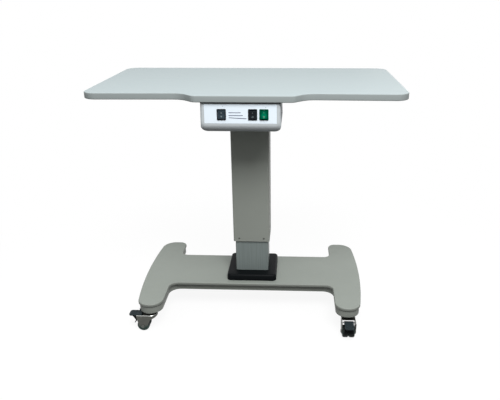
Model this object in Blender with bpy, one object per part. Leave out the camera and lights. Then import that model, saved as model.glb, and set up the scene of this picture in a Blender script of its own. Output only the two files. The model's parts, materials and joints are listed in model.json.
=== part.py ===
"""Electric treatment table: a wide top on a two-stage lifting column with an H-shaped base on casters.

Metres, +Z up, +X to the sitter's right, -Y towards the sitter. The origin lies on the floor under the
middle of the table's bounding box, and every piece hangs on an empty on the column's axis.
"""

import math

import bmesh
import bpy
from mathutils import Matrix

# Gaps between pieces
SEAT = 0.0003
RUNNING = 0.0004

# Tabletop, with reaches counted from the column's axis
TOP_HEIGHT = 0.785
TOP_WIDTH = 0.930
TOP_THICKNESS = 0.019
TOP_BACK_REACH = 0.2725
TOP_FRONT_REACH = 0.2184
TOP_CORNER_REACH = 0.2249
TOP_CORNER_RADIUS = 0.040
TOP_EDGE_ROUND = 0.0025
BULGE_DEPTH = 0.0388
BULGE_FLAT_WIDTH = 0.2816
BULGE_FOOT_WIDTH = 0.3574
BULGE_CREST_RADIUS = 0.025
BULGE_FOOT_RADIUS = 0.056

# Plate that joins column and tabletop
TOP_PLATE_WIDTH = 0.300
TOP_PLATE_FRONT = 0.0615
TOP_PLATE_BACK = 0.1525
TOP_PLATE_THICKNESS = 0.007
TOP_PLATE_CORNER = 0.012
TOP_PLATE_HOLE_RADIUS = 0.0033
TOP_PLATE_HOLE_INSET = 0.016

# Column tubes
COLUMN_WIDTH = 0.124
COLUMN_DEPTH = 0.111
COLUMN_WALL = 0.0025
COLUMN_CORNER = 0.005
COLUMN_BOTTOM_HEIGHT = 0.245
TUBE_GAP = 0.00325
INNER_TUBE_TOP_HEIGHT = 0.604
GLIDE_RING_HEIGHT = 0.032
GLIDE_RING_RECESS = 0.002
GLIDE_SCREW_SIDE_INSET = 0.020
GLIDE_SCREW_HEIGHT = 0.012
GLIDE_SCREW_RADIUS = 0.0015
GLIDE_SCREW_HEAD_RADIUS = 0.0032
GLIDE_SCREW_FLAT_RADIUS = 0.0019
GLIDE_SCREW_HEAD_HEIGHT = 0.0012

# Collar and foot plate
COLLAR_SIDE = 0.171
COLLAR_HEIGHT = 0.024
COLLAR_WALL = 0.004
COLLAR_CORNER = 0.013
COLLAR_EDGE_ROUND = 0.007
FOOT_PLATE_MARGIN = 0.009
FOOT_PLATE_THICKNESS = 0.008

# Lifting drive
GEARMOTOR_LENGTH = 0.100
MOTOR_RADIUS = 0.027
GEARBOX_RADIUS = 0.032
GEARBOX_HEIGHT = 0.036
GEARBOX_BOSS_RADIUS = 0.0128
GEARBOX_BOSS_HEIGHT = 0.004
SPINDLE_RADIUS = 0.008
SPINDLE_LENGTH = 0.270
SPINDLE_TIP = 0.002
PUSH_TUBE_RADIUS = 0.018
PUSH_TUBE_WALL = 0.003
PUSH_TUBE_FLANGE_RADIUS = 0.030
PUSH_TUBE_FLANGE_HEIGHT = 0.006
PUSH_TUBE_TOP_HEIGHT = 0.500
NUT_HEIGHT = 0.030
NUT_SPIGOT = 0.012

# Control box
BOX_CENTRE_X = -0.008
BOX_WIDTH = 0.228
BOX_HEIGHT = 0.0790
BOX_FRONT_REACH = 0.2495
BOX_BACK_REACH = 0.0675
BOX_WALL = 0.003
BOX_LOWER_RADIUS = 0.014
BOX_EDGE_ROUND = 0.008
LID_THICKNESS = 0.0035
LID_INSET = 0.002
PANEL_WIDTH = 0.2035
PANEL_HEIGHT = 0.0543
PANEL_THICKNESS = 0.0012
PANEL_DROP = 0.0015
SWITCH_DROP = 0.0345
SWITCH_PLACES = (("up_down", -0.053), ("outlet", 0.0345), ("mains", 0.066))

# Rocker switch
BEZEL_WIDTH = 0.0255
BEZEL_HEIGHT = 0.031
BEZEL_THICKNESS = 0.0016
SWITCH_LIP = 0.0009
SWITCH_DEPTH = 0.020
ROCKER_WIDTH = 0.0195
ROCKER_RADIUS = 0.0132
ROCKER_PIVOT_DEPTH = 0.0040
ROCKER_CORNER_ANGLE = math.radians(29.0)
ROCKER_WAIST = 0.0045
ROCKER_BACK = 0.0040
ROCKER_TILT = math.radians(7.0)

# Box contents
INLET_FLANGE_WIDTH = 0.031
INLET_FLANGE_HEIGHT = 0.025
INLET_FLANGE_THICKNESS = 0.0025
INLET_LIP = 0.002
INLET_DEPTH = 0.018
INLET_SOCKET_WALL = 0.002
INLET_SOCKET_DEPTH = 0.015
INLET_SIDE_MARGIN = 0.030
INLET_DROP = 0.034
SUPPLY_WIDTH = 0.066
SUPPLY_DEPTH = 0.056
SUPPLY_HEIGHT = 0.046
SUPPLY_COIL_OVERHANG = 0.008
SUPPLY_SIDE_MARGIN = 0.020
SUPPLY_BACK_MARGIN = 0.022
BOARD_WIDTH = 0.080
BOARD_DEPTH = 0.064
BOARD_THICKNESS = 0.0016
BOARD_POST_HEIGHT = 0.008
BOARD_POST_RADIUS = 0.003
BOARD_SIDE_MARGIN = 0.030

# Base, with reaches counted from the column's axis
BASE_TOP_HEIGHT = 0.108
BASE_HALF_WIDTH = 0.379
BASE_SIDE_ARC_RADIUS = 1.545
FOOT_WIDTH = 0.0985
FOOT_FRONT_REACH = 0.252
FOOT_BACK_REACH = 0.2115
FOOT_FRONT_INNER_RADIUS = 0.040
FOOT_FRONT_OUTER_RADIUS = 0.040
FOOT_BACK_INNER_RADIUS = 0.026
FOOT_BACK_OUTER_RADIUS = 0.048
BEAM_FRONT_REACH = 0.1055
BEAM_BACK_REACH = 0.1045
BEAM_FRONT_FILLET = 0.028
BEAM_BACK_FILLET = 0.023
COVER_THICKNESS = 0.011
COVER_EDGE_ROUND = 0.004
FRAME_THICKNESS = 0.0232
FRAME_FOOT_INSET = 0.004
FRAME_BEAM_INSET = 0.015
FRAME_WALL = 0.008
FRAME_WEB = 0.006
FRAME_RIB = 0.008
FRAME_POCKETS = 4
FRAME_EDGE_ROUND = 0.0025

# Casters, set in from the ends and the outer sides of the feet
CASTER_SIDE_INSET = 0.053
CASTER_FRONT_INSET = 0.0305
CASTER_BACK_INSET = 0.036
CASTER_BOSS_RADIUS = 0.030
CASTER_TRAIL = 0.0235
WHEEL_RADIUS = 0.020
WHEEL_WIDTH = 0.0195
WHEEL_SPACING = 0.0010
WHEEL_SHOULDER = 0.0055
WHEEL_DISH_DEPTH = 0.0025
WHEEL_HUB_RADIUS = 0.0075
AXLE_RADIUS = 0.0035
AXLE_HEAD_RADIUS = 0.0058
AXLE_HEAD_FLAT_RADIUS = 0.0041
AXLE_HEAD_HEIGHT = 0.0014
FORK_TOP_HEIGHT = 0.061
FORK_SHEET = 0.0022
FORK_REAR_REACH = 0.0425
FORK_BOSS_RADIUS = 0.0110
FORK_BOSS_DROP = 0.0068
FORK_EDGE_ROUND = 0.0035
FORK_APRON = 0.008
FORK_WHEEL_GAP = 0.0011
FORK_HOOD_END = 0.0205
SWIVEL_FLANGE_RADIUS = 0.0235
SWIVEL_FLANGE_HEIGHT = 0.0035
SWIVEL_RACE_RADIUS = 0.0175
KINGPIN_RADIUS = 0.0055
KINGPIN_HEAD_RADIUS = 0.0085
KINGPIN_HEAD_FLAT_RADIUS = 0.0060
KINGPIN_HEAD_HEIGHT = 0.0024
STEM_RADIUS = 0.0050
STEM_LENGTH = 0.012

# Brake pedal of the front casters
PEDAL_REACH = 0.070
PEDAL_WIDTH = 0.030
PEDAL_THICKNESS = 0.0045
PEDAL_TOE_ROUND = 0.003
PEDAL_BARREL_RADIUS = 0.0045
PEDAL_BARREL_ROUND = 0.0044
PEDAL_PIN_RADIUS = 0.0015
PEDAL_PIVOT_TRAIL = 0.0265
PEDAL_DROP = 0.002
PEDAL_SHOE_CLEARANCE = 0.0034
PEDAL_SHOE_THICKNESS = 0.005
PEDAL_SHOE_TRAIL = 0.0385
PEDAL_GUSSET_TRAIL = 0.057
PEDAL_LIP_TRAIL = 0.053
PEDAL_LIP_DROP = 0.026
PEDAL_LIP_THICKNESS = 0.003

# Facets
ROUND_TOLERANCE = 0.0004
SAME_HEIGHT = 1e-7
SAME_POINT = 1e-6
SMOOTH_BELOW = math.radians(35.0)
ROCKER_ARC_STEPS = 4
CIRCLE_STEPS = 24
SMALL_CIRCLE_STEPS = 12
SIDE_ARC_STEPS = 7
EDGE_STEPS = 3

# Heights and places that follow from the sizes above
CASTER_X = BASE_HALF_WIDTH - CASTER_SIDE_INSET
CASTER_FRONT_REACH = FOOT_FRONT_REACH - CASTER_FRONT_INSET
CASTER_BACK_REACH = FOOT_BACK_REACH - CASTER_BACK_INSET
COLUMN_Y = (CASTER_FRONT_REACH + PEDAL_REACH - TOP_BACK_REACH) / 2
TOP_UNDERSIDE = TOP_HEIGHT - TOP_THICKNESS
COLUMN_TOP = TOP_UNDERSIDE - TOP_PLATE_THICKNESS - 2 * SEAT
INNER_TUBE_WIDTH = COLUMN_WIDTH - 2 * (COLUMN_WALL + TUBE_GAP)
INNER_TUBE_DEPTH = COLUMN_DEPTH - 2 * (COLUMN_WALL + TUBE_GAP)
INNER_TUBE_CORNER = max(COLUMN_CORNER - COLUMN_WALL, COLUMN_WALL + SEAT)
FOOT_PLATE_BOTTOM = BASE_TOP_HEIGHT + SEAT
FOOT_PLATE_TOP = FOOT_PLATE_BOTTOM + FOOT_PLATE_THICKNESS
COVER_BOTTOM = BASE_TOP_HEIGHT - COVER_THICKNESS
FRAME_TOP = COVER_BOTTOM - SEAT
FRAME_BOTTOM = FRAME_TOP - FRAME_THICKNESS
GEARBOX_BOTTOM = COLUMN_TOP - SEAT - GEARMOTOR_LENGTH
BOX_TOP = TOP_UNDERSIDE - LID_THICKNESS - 2 * SEAT
BOX_BOTTOM = BOX_TOP - BOX_HEIGHT
BOX_FLOOR = BOX_BOTTOM + BOX_WALL
PANEL_FRONT = -BOX_FRONT_REACH
PANEL_TOP = BOX_TOP - PANEL_DROP
SWITCH_Z = TOP_UNDERSIDE - SWITCH_DROP
ROCKER_ROOM = ROCKER_RADIUS + RUNNING
FORK_INSIDE = WHEEL_WIDTH + WHEEL_SPACING / 2 + FORK_WHEEL_GAP
FORK_OUTSIDE = FORK_INSIDE + FORK_SHEET
FORK_PLATE_BOTTOM = FORK_TOP_HEIGHT - FORK_SHEET
PEDAL_TOP = FORK_TOP_HEIGHT - PEDAL_DROP
PEDAL_PIVOT_HEIGHT = PEDAL_TOP - PEDAL_BARREL_RADIUS


# Materials

def material(name, colour, roughness, metallic=0.0):
    """A Principled material of one colour."""
    made = bpy.data.materials.new(name)
    made.use_nodes = True
    shader = made.node_tree.nodes["Principled BSDF"]
    shader.inputs["Base Color"].default_value = (*colour, 1.0)
    shader.inputs["Roughness"].default_value = roughness
    shader.inputs["Metallic"].default_value = metallic
    return made


# Shape helpers

def rounded_outline(corners):
    """Points of a closed outline, counter-clockwise, from corners (x, y, fillet radius)."""
    points = []
    count = len(corners)
    for index, (x, y, radius) in enumerate(corners):
        before = corners[index - 1]
        after = corners[(index + 1) % count]
        into = math.atan2(y - before[1], x - before[0])
        out = math.atan2(after[1] - y, after[0] - x)
        turn = math.remainder(out - into, math.tau)
        if radius <= 0.0 or abs(turn) < SAME_POINT:
            points.append((x, y))
            continue
        side = math.copysign(1.0, turn)
        setback = radius * math.tan(abs(turn) / 2)
        start_x = x - setback * math.cos(into)
        start_y = y - setback * math.sin(into)
        centre_x = start_x - side * radius * math.sin(into)
        centre_y = start_y + side * radius * math.cos(into)
        widest = 2 * math.acos(max(0.0, 1 - ROUND_TOLERANCE / radius))
        steps = max(2, math.ceil(abs(turn) / widest))
        for step in range(steps + 1):
            heading = into + turn * step / steps
            points.append((centre_x + side * radius * math.sin(heading),
                           centre_y - side * radius * math.cos(heading)))
    return points


def rectangle(low_x, high_x, low_y, high_y, radius=0.0):
    """Outline of a rectangle with rounded corners."""
    corners = ((low_x, low_y), (high_x, low_y), (high_x, high_y), (low_x, high_y))
    return rounded_outline([(x, y, radius) for x, y in corners])


def circle(radius, steps=CIRCLE_STEPS):
    """Outline of a circle about the origin."""
    turns = [math.tau * step / steps for step in range(steps)]
    return [(radius * math.cos(turn), radius * math.sin(turn)) for turn in turns]


def prism(outline, low, high):
    """A mesh of the outline, extruded upwards from low to high."""
    mesh = bmesh.new()
    floor = mesh.faces.new([mesh.verts.new((x, y, low)) for x, y in outline])
    floor.normal_flip()
    lifted = bmesh.ops.extrude_face_region(mesh, geom=[floor], use_keep_orig=True)
    moved = [item for item in lifted["geom"] if isinstance(item, bmesh.types.BMVert)]
    bmesh.ops.translate(mesh, verts=moved, vec=(0.0, 0.0, high - low))
    bmesh.ops.recalc_face_normals(mesh, faces=mesh.faces)
    return mesh


def round_ring(mesh, height, width, steps=EDGE_STEPS):
    """Rounds the rim edges of a prism that lie at one height."""
    rim = [edge for edge in mesh.edges if all(abs(vert.co.z - height) < SAME_HEIGHT for vert in edge.verts)]
    bmesh.ops.bevel(mesh, geom=rim, offset=width, offset_type="OFFSET", segments=steps, profile=0.5,
                    affect="EDGES", clamp_overlap=False)
    return mesh


def turned(profile, steps=CIRCLE_STEPS):
    """A mesh turned about Z from a closed profile of (radius, height) points."""
    mesh = bmesh.new()
    loop = [mesh.verts.new((radius, 0.0, height)) for radius, height in profile]
    edges = [mesh.edges.new((loop[i - 1], loop[i])) for i in range(len(loop))]
    bmesh.ops.spin(mesh, geom=loop + edges, cent=(0, 0, 0), axis=(0, 0, 1), dvec=(0, 0, 0),
                   angle=math.tau, steps=steps, use_merge=True, use_duplicate=False)
    bmesh.ops.remove_doubles(mesh, verts=mesh.verts, dist=SAME_POINT)
    bmesh.ops.dissolve_degenerate(mesh, edges=mesh.edges, dist=SAME_POINT)
    bmesh.ops.recalc_face_normals(mesh, faces=mesh.faces)
    return mesh


# Turns of a mesh drawn in plan: the first stands its outline up, and both lay its height along +Y
UPRIGHT_TO_BACK = Matrix(((1, 0, 0, 0), (0, 0, 1, 0), (0, 1, 0, 0), (0, 0, 0, 1)))
ALONG_Y = Matrix.Rotation(math.radians(-90.0), 4, "X")


def upright(outline, front, back):
    """A mesh of an (x, z) outline, extruded along Y from front to back."""
    mesh = prism(outline, front, back)
    bmesh.ops.transform(mesh, matrix=UPRIGHT_TO_BACK, verts=mesh.verts)
    bmesh.ops.recalc_face_normals(mesh, faces=mesh.faces)
    return mesh


def add(name, mesh, finish, parent, place=(0.0, 0.0, 0.0)):
    """Makes a named object of a mesh, hung on its parent, with round faces shaded smooth."""
    data = bpy.data.meshes.new(name)
    mesh.to_mesh(data)
    mesh.free()
    data.materials.append(finish)
    data.shade_smooth()
    data.set_sharp_from_angle(angle=SMOOTH_BELOW)
    made = bpy.data.objects.new(name, data)
    bpy.context.scene.collection.objects.link(made)
    made.parent = parent
    made.location = place
    return made


def empty(name, place, parent=None, heading=0.0):
    """An empty on an axis, turned about Z by its heading."""
    made = bpy.data.objects.new(name, None)
    bpy.context.scene.collection.objects.link(made)
    made.parent = parent
    made.location = place
    made.rotation_euler.z = heading
    return made


def combine(target, mesh, operation="DIFFERENCE"):
    """Cuts, joins or intersects the target with a mesh drawn in the target's own frame."""
    tool = add(f"{target.name}.tool", mesh, target.data.materials[0], target)
    tool.hide_render = True
    tool.display_type = "WIRE"
    change = target.modifiers.new(operation.lower(), "BOOLEAN")
    change.operation = operation
    change.solver = "EXACT"
    change.object = tool


# Pieces

def tabletop(column, finish):
    """The board: its front edge draws back a little toward the middle, then swells out in two S-curves."""
    half = TOP_WIDTH / 2
    bulge = -TOP_FRONT_REACH - BULGE_DEPTH
    outline = rounded_outline([
        (-half, -TOP_CORNER_REACH, TOP_CORNER_RADIUS),
        (-BULGE_FOOT_WIDTH / 2, -TOP_FRONT_REACH, BULGE_FOOT_RADIUS),
        (-BULGE_FLAT_WIDTH / 2, bulge, BULGE_CREST_RADIUS),
        (BULGE_FLAT_WIDTH / 2, bulge, BULGE_CREST_RADIUS),
        (BULGE_FOOT_WIDTH / 2, -TOP_FRONT_REACH, BULGE_FOOT_RADIUS),
        (half, -TOP_CORNER_REACH, TOP_CORNER_RADIUS),
        (half, TOP_BACK_REACH, TOP_CORNER_RADIUS),
        (-half, TOP_BACK_REACH, TOP_CORNER_RADIUS),
    ])
    board = prism(outline, TOP_UNDERSIDE, TOP_HEIGHT)
    round_ring(board, TOP_HEIGHT, TOP_EDGE_ROUND)
    round_ring(board, TOP_UNDERSIDE, TOP_EDGE_ROUND)
    add("tabletop", board, finish, column)


def top_plate(column, finish):
    """The steel plate on the column's head, with a screw hole near each corner."""
    half = TOP_PLATE_WIDTH / 2
    low = TOP_UNDERSIDE - SEAT - TOP_PLATE_THICKNESS
    outline = rectangle(-half, half, -TOP_PLATE_FRONT, TOP_PLATE_BACK, TOP_PLATE_CORNER)
    plate = add("top_plate", prism(outline, low, low + TOP_PLATE_THICKNESS), finish, column)
    for x in (-half + TOP_PLATE_HOLE_INSET, half - TOP_PLATE_HOLE_INSET):
        for y in (-TOP_PLATE_FRONT + TOP_PLATE_HOLE_INSET, TOP_PLATE_BACK - TOP_PLATE_HOLE_INSET):
            hole = prism(circle(TOP_PLATE_HOLE_RADIUS, SMALL_CIRCLE_STEPS),
                         low - TOP_PLATE_THICKNESS, low + 2 * TOP_PLATE_THICKNESS)
            bmesh.ops.translate(hole, verts=hole.verts, vec=(x, y, 0.0))
            combine(plate, hole)


def tube(name, width, depth, corner, wall, low, high, finish, column):
    """A rectangular tube with rounded corners and its ends left open."""
    outer = rectangle(-width / 2, width / 2, -depth / 2, depth / 2, corner)
    bore_x = width / 2 - wall
    bore_y = depth / 2 - wall
    bore = rectangle(-bore_x, bore_x, -bore_y, bore_y, max(corner - wall, wall / 2))
    made = add(name, prism(outer, low, high), finish, column)
    combine(made, prism(bore, low - wall, high + wall))
    return made


def column_tubes(column, paint, plastic, zinc):
    """The outer tube slides over the inner one on two glide rings, the lower ring held by four screws."""
    outer = tube("outer_column", COLUMN_WIDTH, COLUMN_DEPTH, COLUMN_CORNER, COLUMN_WALL,
                 COLUMN_BOTTOM_HEIGHT, COLUMN_TOP, paint, column)
    tube("inner_column", INNER_TUBE_WIDTH, INNER_TUBE_DEPTH, INNER_TUBE_CORNER, COLUMN_WALL,
         FOOT_PLATE_TOP + SEAT, INNER_TUBE_TOP_HEIGHT, paint, column)
    ring_wall = TUBE_GAP - SEAT - RUNNING
    lower_width = COLUMN_WIDTH - 2 * (COLUMN_WALL + SEAT)
    lower_depth = COLUMN_DEPTH - 2 * (COLUMN_WALL + SEAT)
    lower_corner = max(COLUMN_CORNER - COLUMN_WALL, COLUMN_WALL / 2)
    lower_low = COLUMN_BOTTOM_HEIGHT + GLIDE_RING_RECESS
    lower = tube("lower_glide_ring", lower_width, lower_depth, lower_corner, ring_wall,
                 lower_low, lower_low + GLIDE_RING_HEIGHT, plastic, column)
    upper_width = INNER_TUBE_WIDTH + 2 * (SEAT + ring_wall)
    upper_depth = INNER_TUBE_DEPTH + 2 * (SEAT + ring_wall)
    tube("upper_glide_ring", upper_width, upper_depth, INNER_TUBE_CORNER, ring_wall,
         INNER_TUBE_TOP_HEIGHT - GLIDE_RING_HEIGHT, INNER_TUBE_TOP_HEIGHT, plastic, column)
    screw_x = COLUMN_WIDTH / 2 - GLIDE_SCREW_SIDE_INSET
    screw_z = COLUMN_BOTTOM_HEIGHT + GLIDE_SCREW_HEIGHT
    grip = COLUMN_WALL + SEAT + ring_wall
    for end, facing in (("front", -1), ("rear", 1)):
        turn = Matrix.Rotation(facing * math.radians(-90.0), 4, "X")
        for side, x in (("left", -screw_x), ("right", screw_x)):
            place = Matrix.Translation((x, facing * COLUMN_DEPTH / 2, screw_z)) @ turn
            profile = [
                (0.0, SEAT + GLIDE_SCREW_HEAD_HEIGHT),
                (0.0, -grip),
                (GLIDE_SCREW_RADIUS, -grip),
                (GLIDE_SCREW_RADIUS, SEAT),
                (GLIDE_SCREW_HEAD_RADIUS, SEAT),
                (GLIDE_SCREW_FLAT_RADIUS, SEAT + GLIDE_SCREW_HEAD_HEIGHT),
            ]
            screw = turned(profile, SMALL_CIRCLE_STEPS)
            bmesh.ops.transform(screw, matrix=place, verts=screw.verts)
            add(f"glide_screw_{end}_{side}", screw, zinc, column)
            for carrier in (outer, lower):
                hole = prism(circle(GLIDE_SCREW_RADIUS + SEAT, SMALL_CIRCLE_STEPS), -2 * grip, grip)
                bmesh.ops.transform(hole, matrix=place, verts=hole.verts)
                combine(carrier, hole)


def column_foot(column, plastic, steel):
    """The inner tube stands on a foot plate, hidden by a moulded collar with an open underside."""
    margin_x = INNER_TUBE_WIDTH / 2 + FOOT_PLATE_MARGIN
    margin_y = INNER_TUBE_DEPTH / 2 + FOOT_PLATE_MARGIN
    plate = prism(rectangle(-margin_x, margin_x, -margin_y, margin_y, FOOT_PLATE_MARGIN / 2),
                  FOOT_PLATE_BOTTOM, FOOT_PLATE_TOP)
    add("foot_plate", plate, steel, column)
    half = COLLAR_SIDE / 2
    top = BASE_TOP_HEIGHT + SEAT + COLLAR_HEIGHT
    shell = prism(rectangle(-half, half, -half, half, COLLAR_CORNER), BASE_TOP_HEIGHT + SEAT, top)
    round_ring(shell, top, COLLAR_EDGE_ROUND)
    collar = add("column_collar", shell, plastic, column)
    inside = half - COLLAR_WALL
    hollow = rectangle(-inside, inside, -inside, inside, COLLAR_CORNER - COLLAR_WALL)
    combine(collar, prism(hollow, BASE_TOP_HEIGHT - COLLAR_WALL, top - COLLAR_WALL))
    mouth_x = INNER_TUBE_WIDTH / 2 + RUNNING
    mouth_y = INNER_TUBE_DEPTH / 2 + RUNNING
    mouth = rectangle(-mouth_x, mouth_x, -mouth_y, mouth_y, INNER_TUBE_CORNER + RUNNING)
    combine(collar, prism(mouth, BASE_TOP_HEIGHT, top + COLLAR_WALL))


def lifting_drive(column, dark, steel, brass):
    """A gearmotor in the column's head turns a spindle in a nut on top of a fixed push tube."""
    head = COLUMN_TOP - SEAT
    gearbox_top = GEARBOX_BOTTOM + GEARBOX_HEIGHT
    boss_top = GEARBOX_BOTTOM + GEARBOX_BOSS_HEIGHT
    profile = [
        (0.0, head),
        (0.0, GEARBOX_BOTTOM),
        (GEARBOX_BOSS_RADIUS, GEARBOX_BOTTOM),
        (GEARBOX_BOSS_RADIUS, boss_top),
        (GEARBOX_RADIUS, boss_top),
        (GEARBOX_RADIUS, gearbox_top),
        (MOTOR_RADIUS, gearbox_top),
        (MOTOR_RADIUS, head),
    ]
    add("gearmotor", turned(profile), dark, column)
    spindle_top = GEARBOX_BOTTOM - SEAT
    rod = [
        (0.0, spindle_top),
        (0.0, spindle_top - SPINDLE_LENGTH),
        (SPINDLE_RADIUS - SPINDLE_TIP, spindle_top - SPINDLE_LENGTH),
        (SPINDLE_RADIUS, spindle_top - SPINDLE_LENGTH + SPINDLE_TIP),
        (SPINDLE_RADIUS, spindle_top),
    ]
    add("lift_spindle", turned(rod), steel, column)
    bore = PUSH_TUBE_RADIUS - PUSH_TUBE_WALL
    low = FOOT_PLATE_TOP + SEAT
    post = [
        (bore, PUSH_TUBE_TOP_HEIGHT),
        (bore, low),
        (PUSH_TUBE_FLANGE_RADIUS, low),
        (PUSH_TUBE_FLANGE_RADIUS, low + PUSH_TUBE_FLANGE_HEIGHT),
        (PUSH_TUBE_RADIUS, low + PUSH_TUBE_FLANGE_HEIGHT),
        (PUSH_TUBE_RADIUS, PUSH_TUBE_TOP_HEIGHT),
    ]
    add("push_tube", turned(post), steel, column)
    thread = SPINDLE_RADIUS + SEAT
    nut_low = PUSH_TUBE_TOP_HEIGHT + SEAT
    nut = [
        (thread, nut_low + NUT_HEIGHT),
        (thread, nut_low - NUT_SPIGOT),
        (bore - SEAT, nut_low - NUT_SPIGOT),
        (bore - SEAT, nut_low),
        (PUSH_TUBE_RADIUS, nut_low),
        (PUSH_TUBE_RADIUS, nut_low + NUT_HEIGHT),
    ]
    add("spindle_nut", turned(nut), brass, column)


def control_box(centre, paint, dark, panel_white):
    """The housing under the front edge: a tray with rounded lower corners, a lid plate and a faceplate."""
    half = BOX_WIDTH / 2
    front_view = rounded_outline([
        (-half, BOX_BOTTOM, BOX_LOWER_RADIUS),
        (half, BOX_BOTTOM, BOX_LOWER_RADIUS),
        (half, BOX_TOP, 0.0),
        (-half, BOX_TOP, 0.0),
    ])
    tray = prism(front_view, -BOX_FRONT_REACH, -BOX_BACK_REACH)
    for depth in (-BOX_FRONT_REACH, -BOX_BACK_REACH):
        rim = [edge for edge in tray.edges
               if all(abs(vert.co.z - depth) < SAME_HEIGHT for vert in edge.verts)
               and not all(abs(vert.co.y - BOX_TOP) < SAME_HEIGHT for vert in edge.verts)]
        bmesh.ops.bevel(tray, geom=rim, offset=BOX_EDGE_ROUND, offset_type="OFFSET", segments=EDGE_STEPS,
                        profile=0.5, affect="EDGES", clamp_overlap=False)
    bmesh.ops.transform(tray, matrix=UPRIGHT_TO_BACK, verts=tray.verts)
    bmesh.ops.recalc_face_normals(tray, faces=tray.faces)
    box = add("control_box", tray, paint, centre)
    inside = half - BOX_WALL
    cavity = prism(rectangle(-inside, inside, -BOX_FRONT_REACH + BOX_WALL + PANEL_THICKNESS,
                             -BOX_BACK_REACH - BOX_WALL, BOX_LOWER_RADIUS - BOX_WALL),
                   BOX_FLOOR, BOX_TOP + BOX_WALL)
    round_ring(cavity, BOX_FLOOR, BOX_LOWER_RADIUS - BOX_WALL)
    combine(box, cavity)
    panel_half = PANEL_WIDTH / 2
    panel_bottom = PANEL_TOP - PANEL_HEIGHT
    seat = rectangle(-panel_half - SEAT, panel_half + SEAT, panel_bottom - SEAT, PANEL_TOP + SEAT)
    combine(box, upright(seat, PANEL_FRONT - BOX_WALL, PANEL_FRONT + PANEL_THICKNESS + SEAT))
    sheet = rectangle(-panel_half, panel_half, panel_bottom, PANEL_TOP)
    panel = add("faceplate", upright(sheet, PANEL_FRONT, PANEL_FRONT + PANEL_THICKNESS), panel_white, centre)
    body_x = BEZEL_WIDTH / 2 - SWITCH_LIP + SEAT
    body_z = BEZEL_HEIGHT / 2 - SWITCH_LIP + SEAT
    for _, x in SWITCH_PLACES:
        for carrier in (box, panel):
            window = upright(rectangle(x - body_x, x + body_x, SWITCH_Z - body_z, SWITCH_Z + body_z),
                             PANEL_FRONT - BOX_WALL, PANEL_FRONT + 2 * BOX_WALL + PANEL_THICKNESS)
            combine(carrier, window)
    lid = prism(rectangle(-half + LID_INSET, half - LID_INSET, -BOX_FRONT_REACH + LID_INSET,
                          -BOX_BACK_REACH - LID_INSET), BOX_TOP + SEAT, BOX_TOP + SEAT + LID_THICKNESS)
    add("control_box_lid", lid, dark, centre)
    return box


def rocker_switch(name, x, tilt, centre, dark, finish):
    """A bezel and body with a pocket, and a rocker that turns about X inside it."""
    face = PANEL_FRONT - SEAT - BEZEL_THICKNESS
    body_x = BEZEL_WIDTH / 2 - SWITCH_LIP
    body_z = BEZEL_HEIGHT / 2 - SWITCH_LIP
    pivot = face + ROCKER_PIVOT_DEPTH
    bezel = upright(rectangle(-BEZEL_WIDTH / 2, BEZEL_WIDTH / 2, -BEZEL_HEIGHT / 2, BEZEL_HEIGHT / 2,
                              SWITCH_LIP), face, face + BEZEL_THICKNESS)
    place = (x, 0.0, SWITCH_Z)
    body = add(f"{name}_switch", bezel, dark, centre, place)
    overlap = BEZEL_THICKNESS / 2
    combine(body, upright(rectangle(-body_x, body_x, -body_z, body_z), face + overlap,
                          face + BEZEL_THICKNESS + SWITCH_DEPTH), "UNION")
    pocket_x = ROCKER_WIDTH / 2 + RUNNING
    pocket = upright(rectangle(-pocket_x, pocket_x, -ROCKER_ROOM, ROCKER_ROOM),
                     face - BEZEL_THICKNESS, pivot + ROCKER_BACK * 2)
    combine(body, pocket)
    out = ROCKER_RADIUS * math.sin(ROCKER_CORNER_ANGLE)
    tall = ROCKER_RADIUS * math.cos(ROCKER_CORNER_ANGLE)
    side_view = [(-out, -tall), (-ROCKER_WAIST, 0.0), (-out, tall)]
    sweep = math.pi / 2 + math.asin(ROCKER_BACK / ROCKER_RADIUS) - (math.pi / 2 - ROCKER_CORNER_ANGLE)
    for step in range(1, ROCKER_ARC_STEPS + 1):
        turn = math.pi / 2 + ROCKER_CORNER_ANGLE - sweep * step / ROCKER_ARC_STEPS
        side_view.append((ROCKER_RADIUS * math.cos(turn), ROCKER_RADIUS * math.sin(turn)))
    for step in range(ROCKER_ARC_STEPS):
        turn = -math.pi / 2 + math.asin(ROCKER_BACK / ROCKER_RADIUS) - sweep * step / ROCKER_ARC_STEPS
        side_view.append((ROCKER_RADIUS * math.cos(turn), ROCKER_RADIUS * math.sin(turn)))
    mesh = prism(side_view, -ROCKER_WIDTH / 2, ROCKER_WIDTH / 2)
    stand = Matrix(((0, 0, 1, 0), (1, 0, 0, 0), (0, 1, 0, 0), (0, 0, 0, 1)))
    bmesh.ops.transform(mesh, matrix=stand, verts=mesh.verts)
    bmesh.ops.recalc_face_normals(mesh, faces=mesh.faces)
    rocker = add(f"{name}_rocker", mesh, finish, centre, (x, pivot, SWITCH_Z))
    rocker.rotation_euler.x = tilt


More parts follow.
